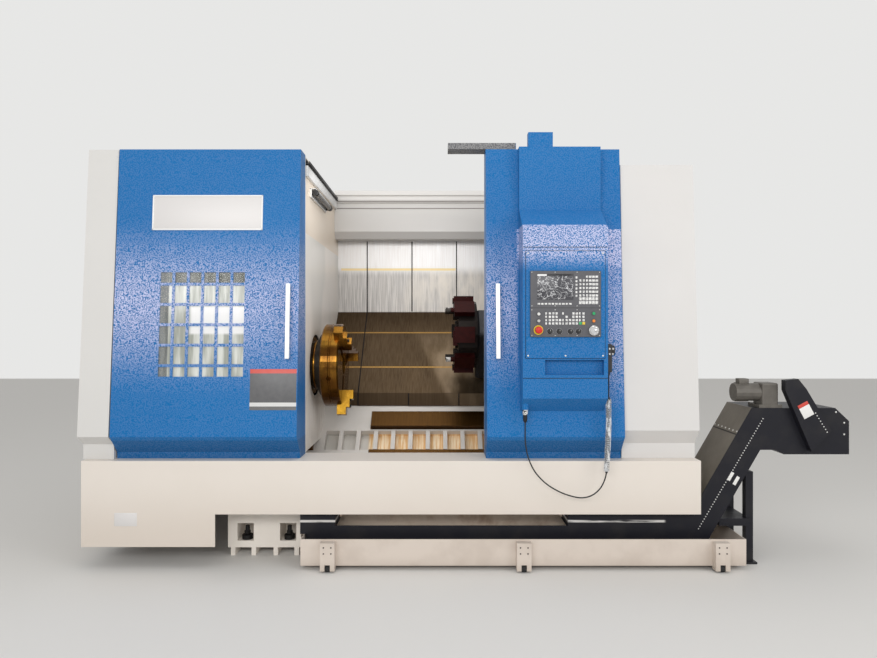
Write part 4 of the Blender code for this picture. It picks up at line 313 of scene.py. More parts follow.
def round_steps(count):
    """Pairs of cosine and sine, evenly round a circle."""
    return [(math.cos(math.tau * turn / count), math.sin(math.tau * turn / count)) for turn in range(count)]


sleeve_film = Finish("clear_sleeve", (0.86, 0.88, 0.9), 0.15)
# Pale, more opaque patches on the film: crumple marks whose whiteness is also a painted highlight
crumples_and_highlights = sleeve_film.noise(38, (1.4, 1.4, 0.5), 4).above(0.55, 0.12)
sleeve_film.put("Alpha", 0.14 + 0.5 * crumples_and_highlights)
sleeve_film.put("Roughness", 0.1 + 0.2 * crumples_and_highlights)
sleeve_radius = 0.0162
sleeve_work = bmesh.new()
rings = [[sleeve_work.verts.new(point + Vector((*across, 0)) * sleeve_radius) for across in round_steps(20)]
         for point in curly_points]
for ring in rings:
    for pair in zip(ring, ring[1:] + ring[:1]):
        sleeve_work.edges.new(pair)
bmesh.ops.bridge_loops(sleeve_work, edges=sleeve_work.edges[:])
bmesh.ops.recalc_face_normals(sleeve_work, faces=sleeve_work.faces)
sleeve = made("clear_sleeve", [sleeve_work], sleeve_film, "right_door")
sleeve_wall = sleeve.modifiers.new("wall", "SOLIDIFY")
sleeve_wall.thickness = 0.0008
sleeve_wall.offset = 1
route_length(lead_points)
route_length(curly_points)
route_length(loop_points)


# Bed: one iron casting painted off-white, with its ground box ways bare and oiled and the iron
# between them left raw; a black levelling jack stands in each of two front pockets
def dress(finish, *nodes):
    """Give solids of the frame their finish."""
    for node in nodes:
        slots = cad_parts[node].data.materials
        slots.clear()
        slots.append(finish.material)


def slab(low, high, round_over=0.002):
    """A plate or block between two corners, with its edges rounded over."""
    work = bmesh.new()
    bmesh.ops.create_cube(work, size=1)
    bmesh.ops.scale(work, vec=Vector(high) - Vector(low), verts=work.verts)
    bmesh.ops.translate(work, vec=(Vector(high) + Vector(low)) / 2, verts=work.verts)
    bmesh.ops.bevel(work, geom=work.edges[:], offset=round_over, segments=2, profile=0.5,
                    affect="EDGES", material=-1)
    return work


def cap_screw(place, out, radius, height, steps=14):
    """A socket head screw with its recess, standing on a surface."""
    return turned([(0, height * 0.45), (radius * 0.5, height * 0.45), (radius * 0.55, height),
                   (radius * 0.86, height), (radius, height * 0.8), (radius, -0.0005), (0, -0.0005)],
                  place, out, steps)


def dome_screw(place, out, radius, height, steps=12):
    """A low round head, such as a rivet's or a sheet screw's."""
    return turned([(0, height), (radius * 0.5, height * 0.9), (radius * 0.86, height * 0.55), (radius, 0),
                   (radius, -0.0005), (0, -0.0005)], place, out, steps)


def moved(parts, matrix):
    for part in parts:
        bmesh.ops.transform(part, matrix=matrix, verts=part.verts)
    return parts


def met(node, start, heading):
    """Where a line first meets a node of the frame, and the way that its face looks."""
    hit, place, normal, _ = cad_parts[node].ray_cast(Vector(start), Vector(heading))
    assert hit, (node, start)
    return place, normal


def front_of(node, x, z):
    """Where a line from the front meets a node, and the way that its face looks."""
    return met(node, (x, -2, z), (0, 1, 0))


cast_iron = Finish("bed_casting", (0.6, 0.52, 0.43), 0.55)
x, y, z = map(cast_iron.axis, "XYZ")
grain = cast_iron.noise(3, (1, 1, 4), 4)
streak = cast_iron.noise(11, (7, 0.5, 0.5), 5)
along_slope = y + z
above_slope = z - y
raw = cast_iron.mix(streak.above(0.5, 0.3), (0.98, 0.82, 0.58), (0.78, 0.48, 0.21))
raw = cast_iron.mix(x.above(-0.68, 0.02), (0.6, 0.57, 0.52), raw)
ribs = cast_iron.mix(grain, (0.66, 0.62, 0.57), (0.76, 0.72, 0.67))
bare = cast_iron.mix(above_slope.above(0.65, 0.02), raw, ribs)
bronze = cast_iron.mix(streak, (0.032, 0.012, 0.001), (0.08, 0.036, 0.005))
upper_way = along_slope.off(0.808, 0.117, 0.004)
lower_way = along_slope.above(0.45, 0.01)
ways = (1 - upper_way * lower_way) * x.above(-0.672, 0.006) * above_slope.above(0.69, 0.01)
bare = cast_iron.mix(ways, bare, bronze)
inside = y.above(-0.55, 0.02) * z.above(0.5, 0.02)
paint = cast_iron.mix(grain, (0.84, 0.78, 0.7), (0.9, 0.84, 0.77))
cast_iron.paint(inside, paint, bare)
cast_iron.put("Roughness", 0.55 - 0.2 * ways)
cast_iron.put("Metallic", 0.85 * ways * inside)
cast_iron.grain(120, 0.25, 0.002, detail=4)
dress(cast_iron, "bed_casting")

black_steel = Finish("blackened_steel", (0.016, 0.015, 0.015), 0.42, 0.6)
black_steel.rough(0.32, 0.3, 60)
black_steel.grain(350, 0.12)
jack_foot = [(0, 0.03), (0.03, 0.03), (0.034, 0.026), (0.034, 0), (0, 0)]
jack_screw = [(0, 0.085), (0.012, 0.085), (0.014, 0.083), (0.014, 0.03), (0, 0.03)]
jack_nut = [(0, 0.052), (0.02, 0.052), (0.022, 0.05), (0.022, 0.034), (0, 0.034)]
jack_y = -0.584
jacks = []
for jack_x in (-1.3945, -1.1255):
    sill, _ = met("bed_casting", (jack_x, -0.55, 0.19), (0, 0, -1))
    sill.y = jack_y
    for profile, sides in ((jack_foot, 24), (jack_screw, 16), (jack_nut, 6)):
        jacks.append(turned(profile, sill, (0, 0, 1), sides))
made("levelling_jacks", jacks, black_steel, "machine")


# Base sheet: folded steel painted off-white, standing round the bed, with a riveted plate left bare
off_white = Finish("off_white_paint", (0.77, 0.69, 0.61), 0.42)
mottle = off_white.noise(2.2)
plain_white = off_white.mix(mottle, (0.74, 0.68, 0.61), (0.79, 0.73, 0.67))
floor_tone = off_white.axis("Z").below(0.36, 0.4)
off_white.paint(floor_tone * 0.4, plain_white, (0.55, 0.46, 0.38))
off_white.rough(0.34, 0.18, 25)
off_white.grain(220, 0.12, 0.0008, detail=2)
dress(off_white, "base_cover")

bare_plate = Finish("satin_plate", (0.7, 0.68, 0.67), 0.42, 0.1)
bare_plate.rough(0.4, 0.15, 40, (1, 40, 40))
bare_plate.grain(30, 0.08, stretch=(1, 60, 60))
plate_low = Vector((-2.105, base_front - 0.0016, 0.256))
plate_high = Vector((-1.97, base_front + 0.0005, 0.335))
rivet_inset = 0.007
rating = [slab(plate_low, plate_high, 0.0006)]
for rivet_x in (plate_low.x + rivet_inset, plate_high.x - rivet_inset):
    for rivet_z in (plate_low.z + rivet_inset, plate_high.z - rivet_inset):
        rating.append(dome_screw((rivet_x, plate_low.y, rivet_z), (0, -1, 0), 0.003, 0.0015))
made("rating_plate", rating, bare_plate, "machine")


# Cabinets and rear enclosure: bolted sheet painted off-white, greyer on the front pillar, and cream
# with oil marks where it lines the work zone; two lifting eyes stand on the left one
cool_white = Finish("cabinet_white", (0.75, 0.73, 0.71), 0.4)
cool_white.paint(cool_white.noise(2), (0.66, 0.645, 0.63), (0.71, 0.695, 0.68))
cool_white.rough(0.34, 0.18, 25)
cool_white.grain(220, 0.12, 0.0008, detail=2)
dress(cool_white, "right_cabinet")

lining = Finish("lining_paint", (0.72, 0.7, 0.67), 0.4)
x, y, z = map(lining.axis, "XYZ")
tone = lining.noise(1.8)
outer = lining.mix(tone, (0.64, 0.63, 0.61), (0.69, 0.68, 0.66))
cream = lining.mix(tone, (0.84, 0.71, 0.57), (0.9, 0.8, 0.68))
# Grey patches on the lighter lower part of the work zone's wall are painted reflection
painted_grey_reflection = lining.noise(1.1, (1, 1, 0.6), 2).above(0.5, 0.12)
plain = lining.mix(painted_grey_reflection * 0.45, (0.95, 0.89, 0.82), (0.62, 0.62, 0.58))
cream = lining.mix(z.above(2.045, 0.004), plain, cream)
splash = lining.noise(7, (6, 6, 0.7), 5).above(0.62, 0.12) * z.below(1.3, 0.6)
cream = lining.mix(splash * 0.45, cream, (0.32, 0.2, 0.1))
lined = x.above(-1.04, 0.01) * y.above(-0.86, 0.01)
shell = lining.mix(lined, outer, cream)
# The window recess behind the left door's pane is painted dark grey: painted shade
recess = x.above(-2.0, 0.01) * x.below(-1.2, 0.01) * y.above(-0.87, 0.01) * y.below(-0.55, 0.01)
recess_painted_shade = lining.mix(lining.noise(35, detail=5), (0.03, 0.034, 0.04), (0.2, 0.21, 0.21))
lining.paint(recess, shell, recess_painted_shade)
lining.put("Roughness", 0.45 - 0.15 * lined + 0.1 * lining.noise(30))
lining.grain(220, 0.1, 0.0008, detail=2)
dress(lining, "left_cabinet")

rear_paint = Finish("rear_paint", (0.62, 0.6, 0.58), 0.42)
y, z = map(rear_paint.axis, "YZ")
sheet_tone = rear_paint.mix(rear_paint.noise(1.6, (0.4, 1, 2)), (0.56, 0.54, 0.52), (0.68, 0.66, 0.63))
top_rail = z.above(2.49, 0.006)
sheet_tone = rear_paint.mix(top_rail, sheet_tone, (0.76, 0.74, 0.71))
joints = 1 - z.off(2.476, 0.0045, 0.003) * z.off(2.418, 0.0035, 0.003)
front_side = y.below(0.6, 0.01)
rear_paint.paint(joints * front_side * 0.85, sheet_tone, (0.08, 0.06, 0.045))
rear_paint.rough(0.36, 0.2, 25)
rear_paint.grain(220, 0.12, 0.0008, detail=2)
dress(rear_paint, "rear_enclosure")

zinc = Finish("zinc_plate", (0.66, 0.66, 0.64), 0.38, 0.45)
zinc.rough(0.3, 0.25, 80)
zinc.grain(150, 0.08)
eye_radius, wire_radius, eye_height = 0.014, 0.0045, 0.028
eye_foot = [(0, 0.012), (0.007, 0.012), (0.012, 0.008), (0.015, 0.004), (0.015, -0.0005), (0, -0.0005)]
eyes = []
for eye_x in (-2.18, -1.863):
    top, _ = met("left_cabinet", (eye_x, -0.575, 3), (0, 0, -1))
    ring = bmesh.new()
    side = [ring.verts.new(top + Vector((eye_radius + wire_radius * out, 0, eye_height + wire_radius * up)))
            for out, up in round_steps(12)]
    wire = [ring.edges.new(pair) for pair in zip(side, side[1:] + side[:1])]
    bmesh.ops.spin(ring, geom=side + wire, cent=top + Vector((0, 0, eye_height)), axis=(0, 1, 0),
                   angle=math.tau, steps=28, use_merge=True)
    bmesh.ops.remove_doubles(ring, verts=ring.verts, dist=1e-6)
    bmesh.ops.recalc_face_normals(ring, faces=ring.faces)
    eyes += [ring, turned(eye_foot, top, (0, 0, 1))]
made("lifting_eyes", eyes, zinc, "machine")


# Headstock, spindle, chuck and motor: a ground spindle runs in a cast housing and carries a chuck of
# oiled steel with three bolted jaws; a ribbed black motor drives it by a belt
oiled_gold = Finish("oiled_iron", (0.42, 0.24, 0.06), 0.3, 0.9)
ring_marks = oiled_gold.noise(90, (1, 0.1, 0.1))
oil = oiled_gold.noise(7, detail=4).above(0.5, 0.35)
gold = oiled_gold.mix(oil, (0.37, 0.175, 0.022), (0.08, 0.03, 0.004))
z = oiled_gold.axis("Z")
# Darker oil-brown below 1.13 m and in a band round 1.285 m: painted shade and painted reflection, the dark
# bands about the chuck's highlight
painted_shade_bands = 1 - z.off(1.285, 0.035, 0.04) * z.above(1.13, 0.1)
oiled_gold.paint(painted_shade_bands * 0.8, gold, (0.075, 0.024, 0.002))
oiled_gold.put("Roughness", 0.1 + 0.24 * ring_marks)
oiled_gold.bump(ring_marks, 0.15)
dress(oiled_gold, "headstock", "chuck_body", "chuck_jaw_1", "chuck_jaw_2")

bright_gold = Finish("fresh_oiled_jaw", (0.85, 0.6, 0.12), 0.25, 0.85)
bright_gold.rough(0.18, 0.25, 50)
bright_gold.paint(bright_gold.noise(12), (0.3, 0.165, 0.01), (0.13, 0.055, 0.003))
bright_gold.grain(120, 0.1, stretch=(1, 8, 1))
dress(bright_gold, "chuck_jaw_3")

dark_spindle = Finish("dark_spindle", (0.03, 0.024, 0.018), 0.28, 0.85)
dark_spindle.rough(0.2, 0.25, 90, (1, 0.1, 0.1))
dark_spindle.grain(120, 0.1, stretch=(1, 0.1, 0.1))
dress(dark_spindle, "spindle")

black_paint = Finish("black_paint", (0.018, 0.018, 0.021), 0.45, 0.1)
black_paint.rough(0.38, 0.22, 45)
black_paint.grain(260, 0.15)
dress(black_paint, "main_motor")

rubber = Finish("belt_rubber", (0.013, 0.013, 0.013), 0.75)
rubber.grain(400, 0.3)
dress(rubber, "drive_belt")

steel = Finish("turned_steel", (0.58, 0.57, 0.55), 0.26, 1)
steel.rough(0.18, 0.2, 90, (0.3, 1, 1))
steel.grain(200, 0.08, stretch=(0.3, 1, 1))
dress(steel, "motor_pulley", "tailstock_quill", "live_centre", "z_ball_screw")

spindle_y, spindle_z = -0.239, 1.181
nose = Vector((-1.0115, spindle_y, spindle_z))
nose_radius = nose.y - front_of("spindle", nose.x, nose.z)[0].y
ring_profile = [(nose_radius + out, reach) for out, reach in (
    (-0.002, -0.007), (0.004, -0.007), (0.005, -0.005), (0.005, 0.005), (0.004, 0.007), (-0.002, 0.007),
    (-0.002, -0.007))]
made("nose_ring", [turned(ring_profile, nose, (1, 0, 0), 64)], oiled_gold, "spindle")

for number in (1, 2, 3):
    jaw = f"chuck_jaw_{number}"
    middle = middle_of(jaw)
    outward = Vector((0, middle.y - spindle_y, middle.z - spindle_z)).normalized()
    for screw, reach in ((1, -0.022), (2, 0.022)):
        spot, _ = met(jaw, Vector((-0.5, middle.y, middle.z)) + outward * reach, (-1, 0, 0))
        made(f"jaw_{number}_screw_{screw}", [cap_screw(spot, (1, 0, 0), 0.011, 0.008)], black_steel,
             f"jaw_{number}")


# Telescopic way covers: six boxes of stainless sheet that slide over each other, brushed down the
# uprights and oily brown on the slope, with brass strips across and black wiper lips at the edges
stainless = Finish("stainless_sheet", (0.62, 0.61, 0.59), 0.28, 0.9)
x, z = map(stainless.axis, "XZ")
brushed = stainless.noise(14, (14, 1, 0.35), 5)
blotch = stainless.noise(5, (1.4, 1, 0.5), 5)
smear = stainless.noise(3, (2, 1, 0.6), 4)
upright = z.above(1.573, 0.008)
streaks = brushed.above(0.5, 0.5)
clean = stainless.mix(streaks * 0.5, (0.98, 0.97, 0.96), (0.8, 0.74, 0.7))
wet = stainless.mix(streaks, (0.34, 0.32, 0.3), (0.74, 0.71, 0.68))
wet = stainless.mix(blotch.above(0.52, 0.3) * x.above(-0.45, 0.7), wet, (0.78, 0.72, 0.64))
high_sheet = stainless.mix(z.above(1.92, 0.1), wet, clean)
low_sheet = stainless.mix(smear, (0.034, 0.02, 0.009), (0.082, 0.052, 0.026))
low_sheet = stainless.mix(brushed.above(0.5, 0.3) * 0.3, low_sheet, (0.17, 0.12, 0.075))
# A lighter tan patch on the slope, right of a diagonal edge, is painted light: the lit side of the door's
# shadow
lit_patch = (x + 0.546 * z).above(0.4, 0.07) * z.below(1.32, 0.3)
lit_patch_colour = stainless.mix(smear.above(0.5, 0.3), (0.15, 0.105, 0.06), (0.36, 0.27, 0.18))
low_sheet = stainless.mix(lit_patch * 0.55, low_sheet, lit_patch_colour)
lip = z.below(0.952, 0.004)
low_sheet = stainless.mix(lip * 0.5, low_sheet, (0.05, 0.032, 0.018))
covers = stainless.mix(upright, low_sheet, high_sheet)
beyond_strips = z.off(1.934, 0.0095, 0.004) * z.off(1.4, 0.0045, 0.003) * z.off(1.134, 0.0045, 0.003)
strips = (1 - beyond_strips) * x.below(-0.03, 0.004) * x.above(-1.0, 0.004)
brass = stainless.mix(brushed, (0.5, 0.3, 0.09), (0.2, 0.1, 0.025))
brass = stainless.mix(upright, brass, (0.9, 0.72, 0.38))
stainless.paint(strips, covers, brass)
stainless.put("Roughness", 0.3 + 0.25 * brushed + 0.05 * upright)
stainless.put("Metallic", 0.88 - 0.62 * upright)
stainless.bump(brushed, 0.06)
dress(stainless, *(f"way_cover_{number}" for number in range(1, 7)))

lip_rubber = Finish("wiper_lip", (0.012, 0.009, 0.008), 0.7, Specular_IOR_Level=0.2)
lip_rubber.grain(300, 0.2)
fold_height, lip_top, lip_foot, lip_width = 1.578, 2.17, 0.856, 0.009
for number, body in ((2, "cover_2"), (3, "cover_3"), (4, "saddle")):
    cover = f"way_cover_{number}"
    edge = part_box(cover)[0][0]
    foot_y, wall_y = (met(cover, (edge + 0.004, -0.5, height), (0, 1, 0))[0].y for height in (0.9, 1.9))
    slope_low = Vector((edge, foot_y, fold_height - (wall_y - foot_y)))
    run = Vector((edge, wall_y, fold_height)) - slope_low
    lips = [slab((edge, face - 0.0015, low), (edge + lip_width, face + 0.0005, high), 0.0006)
            for face, low, high in ((wall_y, fold_height, lip_top), (foot_y, lip_foot, slope_low.z))]
    tilt = Matrix.Translation(slope_low) @ Matrix.Rotation(math.radians(-45), 4, "X")
    lips += moved([slab((0, -0.0015, 0), (lip_width, 0.0005, run.length), 0.0006)], tilt)
    made(f"wiper_lip_{number}", lips, lip_rubber, body)


# Saddle, tailstock, cross slide and turret: painted castings on the slope, and a black disc of
# twelve stations whose bolted holders are dark red, with bright tools
grey_casting = Finish("grey_casting", (0.2, 0.19, 0.175), 0.5, 0.3)
grey_casting.paint(grey_casting.noise(5), (0.16, 0.15, 0.14), (0.28, 0.26, 0.23))
grey_casting.grain(140, 0.25, 0.0015, detail=4)
dress(grey_casting, "saddle", "tailstock_body")
dress(black_paint, "cross_slide")

turret = Finish("turret_finish", (0.03, 0.026, 0.024), 0.32, 0.35, Specular_IOR_Level=0.1)
y, z = map(turret.axis, "YZ")
turret_y, turret_z = -0.029, 1.391
from_middle = ((y - turret_y) ** 2 + (z - turret_z) ** 2) ** 0.5
holders = from_middle.above(0.243, 0.004)
worn = turret.noise(30, detail=4)
black_disc = turret.mix(worn, (0.006, 0.005, 0.005), (0.022, 0.016, 0.013))
dark_red = turret.mix(worn, (0.01, 0.0015, 0.0015), (0.04, 0.005, 0.004))
tool = turret.axis("X").below(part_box("turret_disc")[0][0] + 0.034, 0.002)
bright_tool = turret.mix(worn.above(0.5, 0.15), (0.05, 0.045, 0.04), (0.6, 0.58, 0.55))
dark_red = turret.mix(tool, dark_red, bright_tool)
turret.paint(holders, black_disc, dark_red)
turret.put("Roughness", 0.22 + 0.3 * worn)
turret.grain(160, 0.12)
dress(turret, "turret_disc")


# Work lamp and roof rail: a white channel screwed to the left wall that holds a black tube between
# two end caps, and above it the dark guide rail of the roof over its own white channel
(wall_x, lamp_front, lamp_foot), (_, lamp_back, lamp_top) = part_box("work_lamp")
tube_black = Finish("lamp_tube", (0.02, 0.02, 0.02), 0.2)
tube_black.rough(0.14, 0.15, 40)
tube_black.grain(200, 0.05)
white_trim = Finish("white_trim", (0.85, 0.85, 0.84), 0.35)
white_trim.rough(0.28, 0.15, 50)
white_trim.grain(300, 0.05)
tube_middle = (wall_x + 0.038, lamp_front, (lamp_foot + lamp_top) / 2)
tube_run = lamp_back - lamp_front
tube_end = [(0, 0.002), (0.0195, 0.002), (0.0215, 0.005), (0.0215, 0.03), (0.018, 0.033)]
far_end = [(radius, tube_run - reach) for radius, reach in reversed(tube_end)]
channel = [slab((wall_x, lamp_front, lamp_foot), (wall_x + 0.012, lamp_back, lamp_top)),
           slab((wall_x, lamp_front, lamp_top - 0.006), (wall_x + 0.04, lamp_back, lamp_top))]
lamp_parts = [turned(tube_end + far_end, tube_middle, (0, 1, 0), 28)]
for end_y in (lamp_front + 0.012, lamp_back - 0.026):
    lamp_parts.append(slab((wall_x + 0.01, end_y, lamp_foot + 0.012),
                           (wall_x + 0.034, end_y + 0.014, lamp_top - 0.012)))
made("lamp_channel", channel, white_trim, "machine")
lamp_tube = made("lamp_tube", lamp_parts, tube_black, "machine")
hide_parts("work_lamp")
rail_front, rail_back, rail_low = -0.6, 0.565, 2.475
roof_track = [slab((wall_x + inner, rail_front, rail_low), (wall_x + outer, rail_back, top))
              for inner, outer, top in ((0, 0.03, 2.481), (0, 0.004, 2.518), (0.026, 0.03, 2.5))]
for step in range(16):
    roof_track.append(cap_screw((wall_x + 0.004, -0.57 + 0.074 * step, 2.5), (1, 0, 0), 0.007, 0.006, 10))
made("roof_track", roof_track, black_steel, "machine")
made("roof_channel", [slab((wall_x, rail_front, 2.405), (wall_x + 0.02, rail_back, 2.472))], white_trim,
     "machine")


# Sliding doors: folded sheet in blue hammertone, each with a bare aluminium bar handle; the left one
# has a cut grille over a pane, a bare name plate in a raised frame and a label of plain colour fields
hammered = Finish("blue_hammertone", (0.008, 0.15, 0.42), 0.42, Specular_IOR_Level=0.14)
x, y, z = map(hammered.axis, "XYZ")
cell = hammered.noise(150, detail=2)
cloud = hammered.noise(1.3, detail=2)
blue = hammered.mix(cloud, (0.002, 0.125, 0.37), (0.004, 0.165, 0.45))
flake = cell.above(0.488, 0.12)
# Lighter lavender flake at mid height on the doors, on the console's upper part and up its outer edge is
# painted glare; the rest of the flake is the paint's own faint speckle
painted_glare = z.above(1.3, 0.6) * z.below(1.85, 0.55) * x.below(0.3, 0.02)
painted_glare = painted_glare * (0.75 + 0.25 * x.below(-1.6, 1.4))
console_glare = z.above(1.83, 0.14) * z.below(2.035, 0.004) * x.above(0.3, 0.02)
edge_glare = z.above(1.1, 0.4) * z.below(1.9, 0.4) * x.above(0.81, 0.01) * 0.7
# The doors' toe below 0.765 m is darkened: painted shade
blue = hammered.mix(z.below(0.765, 0.01) * 0.5, blue, (0.003, 0.07, 0.19))
blue = hammered.mix(flake * (0.07 + 0.86 * (painted_glare + console_glare + edge_glare)), blue, (0.62, 0.63, 0.85))
# The pale return edges of the doors are a painted highlight
painted_hem_highlight = y.above(-0.632, 0.003) * (1 - x.off(-1.017, 0.012, 0.004) * x.off(0.114, 0.012, 0.004))
blue = hammered.mix(painted_hem_highlight, blue, (0.7, 0.74, 0.78))
galvanised = z.above(2.536, 0.002) * x.below(0.3, 0.004)
zinc_sheet = hammered.mix(flake, (0.12, 0.12, 0.13), (0.3, 0.3, 0.3))
hammered.paint(galvanised, blue, zinc_sheet)
hammered.put("Roughness", 0.32 + 0.22 * cell)
hammered.bump(cell, 0.6, 0.0014)
dress(hammered, "left_door", "right_door", "console_housing", "console_cover")

pane = Finish("pane_with_painted_reflections", (0.75, 0.77, 0.72), 0.06)
x, z = map(pane.axis, "XZ")
# The pane's grey-green streaks are painted reflection and its white middle band is painted light; its left
# column and top row stay clearer, over the dark recess
uprights = pane.noise(9, (3, 1, 0.25))
painted_reflection_streaks = pane.mix(uprights.above(0.5, 0.3), (0.42, 0.44, 0.39), (0.8, 0.82, 0.77))
bright = x.above(-1.67, 0.03) * z.above(1.4, 0.02) * z.below(1.565, 0.02)
pane.paint(bright, painted_reflection_streaks, (1, 1, 1))
clear_edge = x.above(-1.8, 0.008) * z.below(1.695, 0.008)
pane.put("Alpha", 0.2 + 0.68 * clear_edge * (0.75 + 0.25 * uprights))
pane.put("Roughness", 0.05 + 0.08 * uprights)
dress(pane, "left_door_glass")

aluminium = Finish("bare_aluminium", (0.96, 0.96, 0.95), 0.35, 0.15)
aluminium.rough(0.24, 0.2, 50, (20, 20, 0.6))
aluminium.grain(60, 0.05, stretch=(20, 20, 0.6))
dress(aluminium, "left_door_handle", "right_door_handle")

door_lean = math.atan2(0.125, 1.741)


def on_door(z):
    """A frame on the left door's leaning face at a height: across, out of the machine, and up the face."""
    front, _ = front_of("left_door", -1.2, z)
    return Matrix.Translation((0, front.y, z)) @ Matrix.Rotation(-door_lean, 4, "X")


plate_place = on_door(2.137)
left, right, half, border, inset = -1.912, -1.242, 0.108, 0.009, 0.004
frame_bars = [slab((start, -0.006, low), (end, 0.001, high), 0.0015) for start, end, low, high in (
    (left, right, half - border, half), (left, right, -half, border - half),
    (left, left + border, -half, half), (right - border, right, -half, half))]
made("name_frame", moved(frame_bars, plate_place), white_trim, "left_door")
name_plate = slab((left + inset, -0.003, inset - half), (right - inset, 0.001, half - inset), 0.0008)
made("name_plate", moved([name_plate], plate_place), bare_plate, "left_door")

label = Finish("door_label", (0.2, 0.2, 0.2), 0.4)
z = label.axis("Z")
field = label.mix(z.above(1.165, 0.001), (0.09, 0.09, 0.095), (0.62, 0.05, 0.03))
field = label.mix(z.above(0.992, 0.001), (0.75, 0.75, 0.74), field)
field = label.mix(z.above(0.969, 0.001), (0.14, 0.14, 0.14), field)
label.paint(label.noise(30) * 0.15, field, (0.5, 0.5, 0.5))
label.rough(0.3, 0.2, 60)
made("door_label", moved([slab((-1.3, -0.0009, -0.122), (-1.022, 0.0005, 0.122), 0.0004)], on_door(1.0688)),
     label, "left_door")


# Console: a blue hammertone box on the right door's outer edge, whose front cover is held by five
# screws; the grey panel in it carries a screen under a film, keys, knobs and buttons
cover_low, cover_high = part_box("console_cover")
cover_screws = [dome_screw((screw_x, cover_low[1], screw_z), (0, -1, 0), 0.0055, 0.0025, 14)
                for screw_x, screw_z in ((0.341, 1.866), (0.772, 1.866), (0.341, 1.276), (0.5565, 1.276),
                                         (0.772, 1.276))]
made("cover_screws", cover_screws, zinc, "right_door")

box_face = cover_high[1]
# Thin black strips round the front cover are painted shadow in the gap at its edges; the two across the box,
# at its fold and its lip, are seam lines
gap_shadow_out, gap_shadow_in = 0.003, 0.0004
left, right, low, high = cover_low[0], cover_high[0], cover_low[2], cover_high[2]
seam_and_shadow_places = [(left - gap_shadow_out, left - gap_shadow_in, low - gap_shadow_out, high + gap_shadow_out),
               (right + gap_shadow_in, right + gap_shadow_out, low - gap_shadow_out, high + gap_shadow_out),
               (left, right, high + gap_shadow_in, high + gap_shadow_out), (left, right, low - gap_shadow_out, low - gap_shadow_in)]
for height in (1.902, 1.146):
    seam_and_shadow_places.append((console_low[0] + 0.001, console_high[0] - 0.001, height - 0.0017, height + 0.0017))
seams_and_shadows = [slab((start, box_face - 0.0006, low), (end, box_face + 0.0005, high), 0.0002)
         for start, end, low, high in seam_and_shadow_places]
made("console_seams_and_shadow_gaps", seams_and_shadows, rubber, "right_door")

panel_low, panel_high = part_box("operator_panel")
panel_face = front_of("operator_panel", (panel_low[0] + panel_high[0]) / 2, panel_low[2] + 0.005)[0].y


def on_panel(across, up, out=0):
    """A place on the panel by its shares from the left and from the bottom."""
    return Vector((panel_low[0] + across * (panel_high[0] - panel_low[0]), panel_face - out,
                   panel_low[2] + up * (panel_high[2] - panel_low[2])))


def tile(across, up, width, height, thickness):
    """A flat key or plate whose corner shares are across and up, in shares of the panel."""
    return slab(on_panel(across, up, thickness), on_panel(across + width, up + height, -0.0004), 0.0006)


panel_paint = Finish("panel_grey", (0.09, 0.09, 0.1), 0.45)
seam = panel_paint.axis("Z").off(on_panel(0, 0.44).z, 0.0012, 0.0008)
grey = panel_paint.mix(panel_paint.noise(60), (0.075, 0.075, 0.085), (0.11, 0.11, 0.12))
panel_paint.paint(1 - seam, grey, (0.01, 0.01, 0.01))
panel_paint.rough(0.4, 0.15, 200)
panel_paint.grain(900, 0.15, 0.0004)
dress(panel_paint, "operator_panel")

screen = Finish("screen_film", (0.03, 0.032, 0.036), 0.12)
screen_low = on_panel(0.099, 0.566, -0.0003)
screen_high = on_panel(0.606, 0.949, -0.0022)
creases = screen.noise(20, (1, 1, 1.3), 3, 0.6)
fine_creases = screen.noise(42, (1.3, 1, 0.7), 2, 0.5)
wrinkles = 1 - creases.off(0.5, 0.01, 0.01) * fine_creases.off(0.53, 0.006, 0.008)
glass = screen.mix(wrinkles * 0.85, (0.062, 0.062, 0.072), (0.85, 0.86, 0.88))
x, z = map(screen.axis, "XZ")
head_strip = screen.mix(x.above(screen_low.x + 0.054, 0.001), (0.8, 0.8, 0.8), (0.008, 0.008, 0.012))
screen.paint(z.above(screen_high.z - 0.01, 0.0006), glass, head_strip)
screen.put("Roughness", 0.1 + 0.35 * creases)
screen.bump(creases, 0.3, 0.001)
made("screen", [slab(screen_low, screen_high, 0.0005)], screen, "right_door")

white_key = Finish("white_key", (0.78, 0.78, 0.76), 0.4)
print_marks = white_key.noise(140, detail=2).above(0.55, 0.1)
white_key.paint(print_marks * 0.6, (0.8, 0.8, 0.79), (0.22, 0.22, 0.23))
white_key.rough(0.35, 0.1, 300)
keypad = []
for row in range(8):
    for column in range(0 if row < 7 else 2, 6):
        narrow = column < 3 and row > 1
        keypad.append(tile(0.687 + column * 0.0463 + (0.006 if narrow else 0), 0.497 + row * 0.0565,
                           0.027 if narrow else 0.0385, 0.034 if row > 1 else 0.046, 0.0022))
made("keypad_keys", keypad, white_key, "right_door")
soft_keys = [tile(0.102 + column * 0.0495, 0.488, 0.036, 0.026, 0.0018) for column in range(10)]
soft_keys += [tile(0.638, 0.605 + row * 0.0555, 0.026, 0.032, 0.0018) for row in range(6)]
made("soft_keys", soft_keys, white_key, "right_door")
field_left, field_foot, field_pitch = 0.212, 0.187, 0.0475
field_keys = [tile(field_left + column * field_pitch, field_foot + row * 0.0505,
                   0.032 if column % 5 else 0.022, 0.034, 0.002)
              for row in range(4) for column in range(12)
              if not (row == 0 and column > 9 or row > 1 and 3 < column < 8 and row + column != 8)]
made("field_keys", field_keys, white_key, "right_door")
